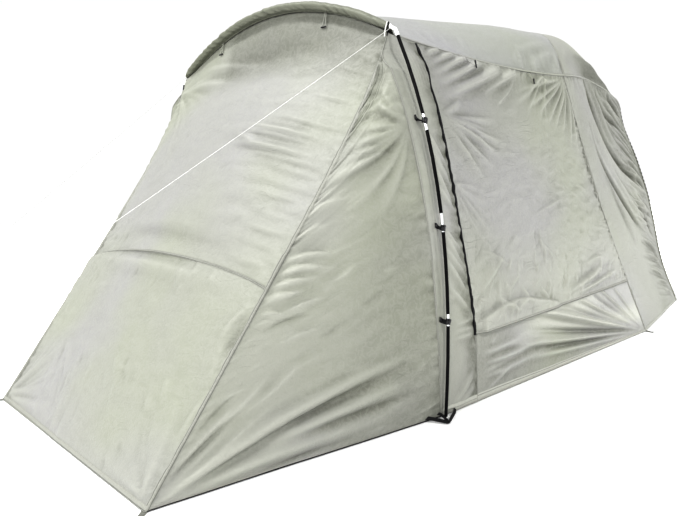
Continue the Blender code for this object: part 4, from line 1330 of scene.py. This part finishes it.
# The share of the roof's edge where the zip meets it
zip_top_along = float((zip_reach(1.0) - ROOF_START) / (SEAM_TOP_REACH - ROOF_START))
seam("front_cross_seam", (lower, "v1", 0.0, 1.0), (upper, "v0", 0.0, 1.0), seam_sage, width=NARROW_SEAM)
seam("roof_cross_seam", (roof, "v1", 0.0, 1.0), (top, "v0", 0.0, 1.0), seam_sage)
hem("front_ground_hem", (lower, "v0", 0.0, 1.0), seam_sage)
for label, side in SIDES.items():
    gusset, strip, door, skirt, sleeve = (panels[label][part] for part in SIDE_PARTS)
    edge = "u1" if side > 0 else "u0"
    side_seams = (
        ("front_seam_low", (lower, edge, 0.0, 1.0), (gusset, "u0", 0.0, FRONT_SPLIT), FRONT_SEAM_WIDTH),
        ("front_seam_high", (upper, edge, 0.0, UPPER_APEX), (gusset, "u0", FRONT_SPLIT, 1.0),
         FRONT_SEAM_WIDTH),
        ("corner_seam", (upper, edge, UPPER_APEX, 1.0), (strip, "u0", APEX_LEVEL, 1.0), SEAM_WIDTH),
        ("gusset_seam", (gusset, "u1", 0.0, 1.0), (strip, "u0", 0.0, APEX_LEVEL), NARROW_SEAM),
        ("strip_eave", (strip, "v1", STRIP_ROOF_START, 1.0), (roof, edge, 0.0, zip_top_along), SEAM_WIDTH),
        ("door_eave", (door, "v1", 0.0, 1.0), (roof, edge, zip_top_along, 1.0), SEAM_WIDTH),
        ("sleeve_eave", (sleeve, "v1", 0.0, 1.0), (top, edge, 0.0, 1.0), SEAM_WIDTH),
        ("rear_seam_high", (door, "u1", 0.0, 1.0), (sleeve, "u0", DOOR_SILL, 1.0), SEAM_WIDTH),
        ("rear_seam_low", (skirt, "u1", 0.0, SILL_SHARE), (sleeve, "u0", 0.0, DOOR_SILL), SEAM_WIDTH),
        ("zip_foot_seam", (strip, "u1", 0.0, DOOR_SILL), (skirt, "u0", 0.0, SILL_SHARE), NARROW_SEAM),
    )
    for name, first, second, width in side_seams:
        finish = seam_wide if width == FRONT_SEAM_WIDTH else seam_sage
        seam(f"{label}_{name}", first, second, finish, width=width)
    seam(f"{label}_zip_tape", (strip, "u1", DOOR_SILL, 1.0), (door, "u0", 0.0, 1.0), black_webbing,
         width=0.017, lift=0.0018)
    seam(f"{label}_zip_coil", (strip, "u1", DOOR_SILL, 0.995), (door, "u0", 0.0, 0.995), zip_black,
         width=0.0075, lift=0.0042)
    hem(f"{label}_sill_hem", (door, "v0", 0.0, 1.0), seam_sage, width=0.016, lift=0.0018)
    hem(f"{label}_gusset_hem", (gusset, "v0", 0.0, 1.0), black_webbing, width=0.008)
    hem(f"{label}_strip_hem", (strip, "v0", 0.0, 1.0), seam_pale, width=0.046)
    hem(f"{label}_skirt_hem", (skirt, "v0", 0.0, 1.0), seam_pale, width=0.046, taper=0.35)
    piping(f"{label}_eave_piping", roof, edge, zip_top_along * 0.2, 1.0)
    piping(f"{label}_sleeve_piping", top, edge, 0.0, 0.97)
    hem(f"{label}_sleeve_hem", (sleeve, "v0", 0.0, 1.0), seam_pale, width=0.02)
hem("brow_lower_hem", (brow, "v0", 0.0, 1.0), painted_shade_seam, width=0.007, lift=0.001)


# Mouth

def mouth_hem():
    """Elastic in a gathered casing all round the sleeve's mouth."""
    edges = (((panels["right"]["sleeve"], "u1", 0.0, 1.0), 170), ((top, "v1", 1.0, 0.0), 150),
             ((panels["left"]["sleeve"], "u1", 1.0, 0.0), 170))
    up, over, down = (rim(edge, count, 0.0, -CLOTH_THICKNESS / 2) for edge, count in edges)
    path = np.concatenate([up, over[1:], down[1:]])
    for _ in range(3):
        inner = path[:-2] * 0.25 + path[1:-1] * 0.5 + path[2:] * 0.25
        path = np.concatenate([path[:1], inner, path[-1:]])
    path[:, 1] += 0.7 * HEM_RADIUS
    path[:, 2] = np.maximum(path[:, 2], HEM_RADIUS)
    run = lengths_along(path)
    gathers = 1 + 0.16 * np.sin(run * 2 * np.pi / GATHER_PITCH) + 0.12 * noise(run / 0.03, run * 0 + 0.5, 3)
    casing = sweep("mouth_hem_casing", path, ring_profile(HEM_RADIUS * 0.82, 10), painted_shade_seam,
                   up=(0.0, 1.0, 0.0), sizes=gathers)
    away = path - [0.0, 0.0, 1.0]
    away[:, 1] = 0.0
    away = away / np.linalg.norm(away, axis=-1, keepdims=True)
    showing = HEM_RADIUS * (0.55 + 0.3 * np.sin(run * 2 * np.pi / (2 * GATHER_PITCH)))
    sweep("mouth_elastic", path + away * showing[:, None], ring_profile(ELASTIC_RADIUS, 8),
          black_webbing, up=(0.0, 1.0, 0.0))
    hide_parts("mouth_elastic_hem")


mouth_hem()


# Poles and their fittings

def dress(prefixes, material):
    for name, obj in nodes.items():
        if any(part in name for part in prefixes):
            obj.data.materials.clear()
            obj.data.materials.append(material)


dress(("pole_section", "bow_pole"), black_pole)
dress(("ferrule", "stake"), bright_metal)
dress(("elbow",), white_paint)


def pole_spot(side, height):
    return np.array([side * leg_half(height), HOOP_Y, height])


def build_clip(label, side, number, height):
    """A hook that snaps round the pole, on webbing sewn to the strip behind it."""
    centre = pole_spot(side, height)
    way = unit(pole_spot(side, height + 0.02) - pole_spot(side, height - 0.02))
    outward = unit(np.cross(way, [0.0, -side, 0.0]))
    forward = np.array([0.0, -1.0, 0.0])
    radius = POLE_RADIUS + HOOK_THICKNESS
    angles = np.radians(np.linspace(-140, 165, 24))
    ring = [centre + (outward * math.cos(a) + forward * math.sin(a)) * radius + way * 0.006 * math.sin(a)
            for a in angles]
    hook = sweep(f"{label}_hook_{number}", ring, flat_profile(0.024, 0.0046), black_plastic,
                 up=outward, sizes=np.interp(angles, [-2.5, 0.0, 2.9], [0.7, 1.15, 0.9]))
    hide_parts(f"{label}_clip_{number}")
    panel = panels[label]["strip"]
    level = height / float(eave_height(0.0))
    start = float(strip_front(level))
    shares = (np.array([-0.032, -0.025, -0.018]) - start) / float(zip_reach(level) - start)
    laid, facing = panel.at(np.clip(shares, 0.01, 1.0), np.full(3, level))
    laid = laid + facing * HOOK_THICKNESS + way * np.array([[0.014], [0.009], [0.004]])
    tail = np.array([centre + forward * radius * 1.1 + outward * 0.003,
                     centre + forward * radius * 0.4 + outward * radius])
    path = curve(np.concatenate([laid, tail]), 24)
    sweep(f"{label}_clip_webbing_{number}", path, flat_profile(0.022, 0.0030), black_webbing,
          up=facing.mean(axis=0))
    toe = [path[0] - way * 0.010 + facing[0] * 0.002, path[0] + facing[0] * 0.003,
           path[0] + way * 0.010 + facing[0] * 0.002]
    sweep(f"{label}_clip_bar_{number}", toe, ring_profile(0.0042, 10), black_plastic,
          up=facing[0])


for label, side in SIDES.items():
    for number, height in enumerate(CLIP_HEIGHTS, start=1):
        build_clip(label, side, number, height)


FOOT_TIP = (1.232, -0.050, 0.010)
FOOT_RING = (1.212, -0.018, 0.012)
# Each strap's places from the hem to the tip on the right side, its width, and the way its webbing faces
FOOT_STRAPS = {
    "front": (((1.105, -0.115, 0.020), (1.150, -0.085, 0.018), (1.195, -0.064, 0.014)), 0.017,
              (0.35, -0.55, 0.6)),
    "middle": (((1.135, -0.030, 0.026), (1.170, -0.022, 0.022), (1.205, -0.036, 0.016)), 0.014,
               (0.5, -0.4, 0.7)),
    "rear": (((1.172, 0.090, 0.018), (1.196, 0.050, 0.020), (1.216, 0.0, 0.018)), 0.015, (0.75, -0.2, 0.5)),
}


def build_foot(label, side):
    """Black webbing under the pole, from both hems to a ring, with the pole's tip in an eyelet."""
    def spot(x, y, z):
        return [side * x, HOOP_Y + y, z]

    slim = np.interp(np.linspace(0, 1, 24), [0.0, 0.8, 1.0], [1.1, 1.0, 0.7])
    for part, (places, width, (out, ahead, rise)) in FOOT_STRAPS.items():
        route = curve([spot(*near) for near in (*places, FOOT_TIP)], 24)
        strap = sweep(f"{label}_foot_strap_{part}", route, flat_profile(width, 0.0022),
                      black_webbing, up=(side * out, ahead, rise), sizes=slim)
    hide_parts(f"{label}_pole_foot_tab")
    ring = ring_round(np.array(spot(*FOOT_RING)), (side * 0.012, 0.0, -0.004), (0.0, 0.017, 0.0), 33)
    sweep(f"{label}_foot_ring", ring, ring_profile(0.0024, 8), white_paint, capped=False)


def build_toggle(name, tops, foot, along, length):
    """A dowel on a loop of tape, for a rolled-up panel."""
    tops, foot, along = np.asarray(tops), np.asarray(foot), unit(np.asarray(along))
    for number, top_spot in enumerate(tops):
        end = foot + along * length * (0.35 if number else -0.35)
        middle = (top_spot + end) / 2 + [0.0, 0.0, -0.004]
        sweep(f"{name}_tape_{number + 1}", curve([top_spot, middle, end], 12), flat_profile(0.0045, 0.0018),
              piping_sage, up=(0.0, -1.0, 0.2))
    reach = np.linspace(-0.5, 0.5, 15)
    girth = 1 - 0.35 * np.abs(2 * reach) ** 6 - 0.18 * np.exp(-(reach / 0.1) ** 2)
    sweep(f"{name}_dowel", foot + along * reach[:, None] * length, ring_profile(0.0042, 12),
          black_plastic, sizes=girth)


def build_toggles(label, side):
    """Toggles under the brow and the eave."""
    across = 0.52 * side
    seam_spot, _ = brow.at(np.array([across]), np.array([0.35]))
    foot, facing = upper.at(np.array([across]), np.array([0.965]))
    foot = foot[0] + facing[0] * 0.007
    tops = [seam_spot[0] + [-0.004, 0.0, 0.0], seam_spot[0] + [0.004, 0.0, 0.0]]
    build_toggle(f"{label}_front_toggle", tops, foot, (1.0, 0.0, -0.05 * side), 0.036)
    panel = panels[label]["door"]
    for number, reach in enumerate(TOGGLE_REACHES, start=1):
        share = (reach - zip_reach(1.0)) / (SEAM_TOP_REACH - zip_reach(1.0))
        under = share + 0.012
        (high_spot, low_spot), facing = panel.at(np.array([share, under]), np.array([0.996, 0.958]))
        high_spot = high_spot + facing[0] * 0.005
        low_spot = low_spot + facing[1] * 0.010
        tops = [high_spot + [0.0, -0.006, 0.0], high_spot + [0.0, 0.006, 0.0]]
        build_toggle(f"{label}_door_toggle_{number}", tops, low_spot, (0.0, 0.35, -1.0), 0.042)


def build_corner(label, side):
    """Webbing and cord that hang the cloth's corner from the elbow."""
    top_spot = np.array([side * 0.893, HOOP_Y - 0.012, 1.862])
    corner = np.array([side * 0.884, HOOP_Y - 0.017, 1.796])
    middle = (top_spot + corner) / 2 + [side * 0.003, -0.004, 0.0]
    sweep(f"{label}_corner_strap", curve([top_spot, middle, corner], 14), flat_profile(0.006, 0.0020),
          black_webbing, up=(side, -0.4, 0.0))
    shift = np.array([-side * 0.010, -0.006, 0.0])
    sweep(f"{label}_corner_cord", curve([top_spot + shift * 0.6, middle + shift, corner + shift], 14),
          ring_profile(0.0028, 8), white_rope)


def build_loops(label):
    """Small loops of tape sewn along the rear seam."""
    panel = panels[label]["door"]
    for number, level in enumerate(LOOP_LEVELS, start=1):
        levels = level + np.array([-1.0, -0.6, 0.0, 0.6, 1.0]) * LOOP_LENGTH / 2
        spots, facing = panel.at(np.full(5, 0.992), levels)
        rise = np.array([[0.002], [0.007], [0.010], [0.007], [0.002]])
        sweep(f"{label}_seam_loop_{number}", curve(spots + facing * rise, 14), flat_profile(0.007, 0.0016),
              piping_sage, up=facing[2])


def build_peg_tab(name, corner, heading, node):
    """A webbing loop for a peg, with a pressed eyelet in it."""
    corner = np.array([*corner, 0.0])
    way = np.array([math.cos(heading), math.sin(heading), 0.0])
    path = curve([corner - way * 0.012 + [0, 0, 0.006], corner + way * 0.006 + [0, 0, 0.003],
                  corner + way * 0.026 + [0, 0, 0.0018], corner + way * 0.049 + [0, 0, 0.0018]], 18)
    strap = sweep(name, path, flat_profile(0.025, 0.0018), olive_webbing)
    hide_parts(node)
    centre = corner + way * 0.036 + [0, 0, 0.0030]
    eyelet = ring_round(centre, (EYELET_RADIUS, 0.0, 0.0), (0.0, EYELET_RADIUS, 0.0), 29)
    sweep(f"{name}_eyelet", eyelet, ring_profile(0.0016, 8), bright_metal, capped=False)


for label, side in SIDES.items():
    build_foot(label, side)
    build_peg_tab(f"{label}_front_tab", (side * (FRONT_HALF - 0.0042), HOOP_Y - FRONT_REACH),
                  -math.pi / 2 + side * 0.6, f"{label}_front_peg_tab")
    build_peg_tab(f"{label}_rear_tab", (side * (REAR_PEG_HALF - 0.0011), HOOP_Y + REAR_PEG_REACH),
                  math.pi / 2 - side * math.pi / 2, f"{label}_rear_peg_tab")


def build_rope(label, side):
    """The guy rope, its loop on the elbow, and the slider that tightens it."""
    start = np.array([side * (ELBOW_HALF - ROPE_INSET), HOOP_Y - ELBOW_RADIUS - ROPE_RADIUS / 2 - GAP,
                      ELBOW_HEIGHT - ROPE_DROP])
    end = np.array([side * (STAKE_RADIUS + ROPE_RADIUS + GAP), HOOP_Y - STAKE_REACH,
                    ROPE_LIE + ROPE_LIE * (side > 0)])
    share = np.linspace(0, 1, 60)[:, None]
    path = start + (end - start) * share
    path[:, 2] = np.maximum(path[:, 2] - ROPE_SAG * 4 * share[:, 0] * (1 - share[:, 0]), ROPE_RADIUS)
    rope = sweep(f"{label}_rope", path, ring_profile(ROPE_GIRTH, 10), white_rope)
    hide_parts(f"{label}_guy_rope")
    centre = np.array([side * (ELBOW_HALF - ROPE_INSET - 0.012), HOOP_Y, ELBOW_HEIGHT - ROPE_DROP + 0.009])
    radius = ELBOW_RADIUS + ROPE_RADIUS
    loop = ring_round(centre, (0.0, radius, 0.0), (0.0, 0.0, radius), 25)
    sweep(f"{label}_rope_loop", loop, ring_profile(ROPE_RADIUS * 0.9, 8), white_rope,
          up=(1.0, 0.0, 0.0), capped=False)
    at = path[50]
    way = unit(path[52] - path[48])
    slider = [at - way * 0.021, at - way * 0.018, at + way * 0.018, at + way * 0.021]
    sweep(f"{label}_slider", slider, flat_profile(0.013, 0.007, 0.5), black_plastic,
          sizes=(0.7, 1.0, 1.0, 0.7))


for label, side in SIDES.items():
    build_rope(label, side)
    build_toggles(label, side)
    build_corner(label, side)
    build_loops(label)


# Camera, light and floor

CAMERA_PLACE = (2.7744, -2.2439 + HOOP_Y, 1.2178)
CAMERA_YAW = 0.7916
CAMERA_PITCH = 0.1621
CAMERA_ROLL = 0.0388
CAMERA_LENS = 31.74
CAMERA_SHIFT = (-0.0014, 0.00715)


def build_camera():
    forward = Vector((-math.sin(CAMERA_YAW) * math.cos(CAMERA_PITCH),
                      math.cos(CAMERA_YAW) * math.cos(CAMERA_PITCH),
                      -math.sin(CAMERA_PITCH)))
    level_right = Vector((math.cos(CAMERA_YAW), math.sin(CAMERA_YAW), 0.0))
    level_down = forward.cross(level_right)
    right = level_right * math.cos(CAMERA_ROLL) + level_down * math.sin(CAMERA_ROLL)
    down = level_down * math.cos(CAMERA_ROLL) - level_right * math.sin(CAMERA_ROLL)
    data = bpy.data.cameras.new("camera")
    data.sensor_width = 36.0
    data.lens = CAMERA_LENS
    data.shift_x, data.shift_y = CAMERA_SHIFT
    camera = bpy.data.objects.new("camera", data)
    turned = Matrix((right, -down, -forward)).transposed().to_4x4()
    camera.matrix_world = Matrix.Translation(CAMERA_PLACE) @ turned
    bpy.context.scene.collection.objects.link(camera)
    bpy.context.scene.camera = camera


def build_sun(name, toward, strength, spread):
    data = bpy.data.lights.new(name, "SUN")
    data.energy = strength
    data.angle = math.radians(spread)
    light = bpy.data.objects.new(name, data)
    light.rotation_mode = "QUATERNION"
    light.rotation_quaternion = Vector(toward).to_track_quat("Z", "Y")
    bpy.context.scene.collection.objects.link(light)


FLOOR_REACH = 14.0
FLOOR_TONE = 0.85
SKY_STRENGTH = 0.68
EXPOSURE = 0.58
GAMMA = 0.7
# Where each sun stands, its strength, and its spread in degrees
SUNS = {
    "front_key": ((0.0, -0.94, 0.35), 0.98, 8),
    "side_key": ((0.45, -0.85, 0.3), 0.50, 7),
    "top_left_key": ((-0.4, -0.3, 0.85), 1.80, 8),
    "top_right_key": ((0.7, 0.0, 0.8), 0.95, 7),
    "rear_key": ((0.5, 0.75, 0.05), 0.66, 8),
}


def build_studio():
    mesh = bpy.data.meshes.new("floor")
    corners = ((-1, -1), (1, -1), (1, 1), (-1, 1))
    mesh.from_pydata([(x * FLOOR_REACH, y * FLOOR_REACH, 0.0) for x, y in corners], [], [(0, 1, 2, 3)])
    floor = bpy.data.objects.new("floor", mesh)
    mesh.materials.append(Finish("floor", (FLOOR_TONE,) * 3, 0.9).material)
    bpy.context.scene.collection.objects.link(floor)
    world = bpy.data.worlds.new("studio")
    bpy.context.scene.world = world
    world.use_nodes = True
    background = world.node_tree.nodes["Background"]
    background.inputs["Color"].default_value = (1.0, 1.0, 1.0, 1.0)
    background.inputs["Strength"].default_value = SKY_STRENGTH
    display = bpy.context.scene.view_settings
    display.view_transform = "Standard"
    display.exposure = EXPOSURE
    display.gamma = GAMMA
    for name, (toward, strength, spread) in SUNS.items():
        build_sun(name, toward, strength, spread)


build_camera()
build_studio()
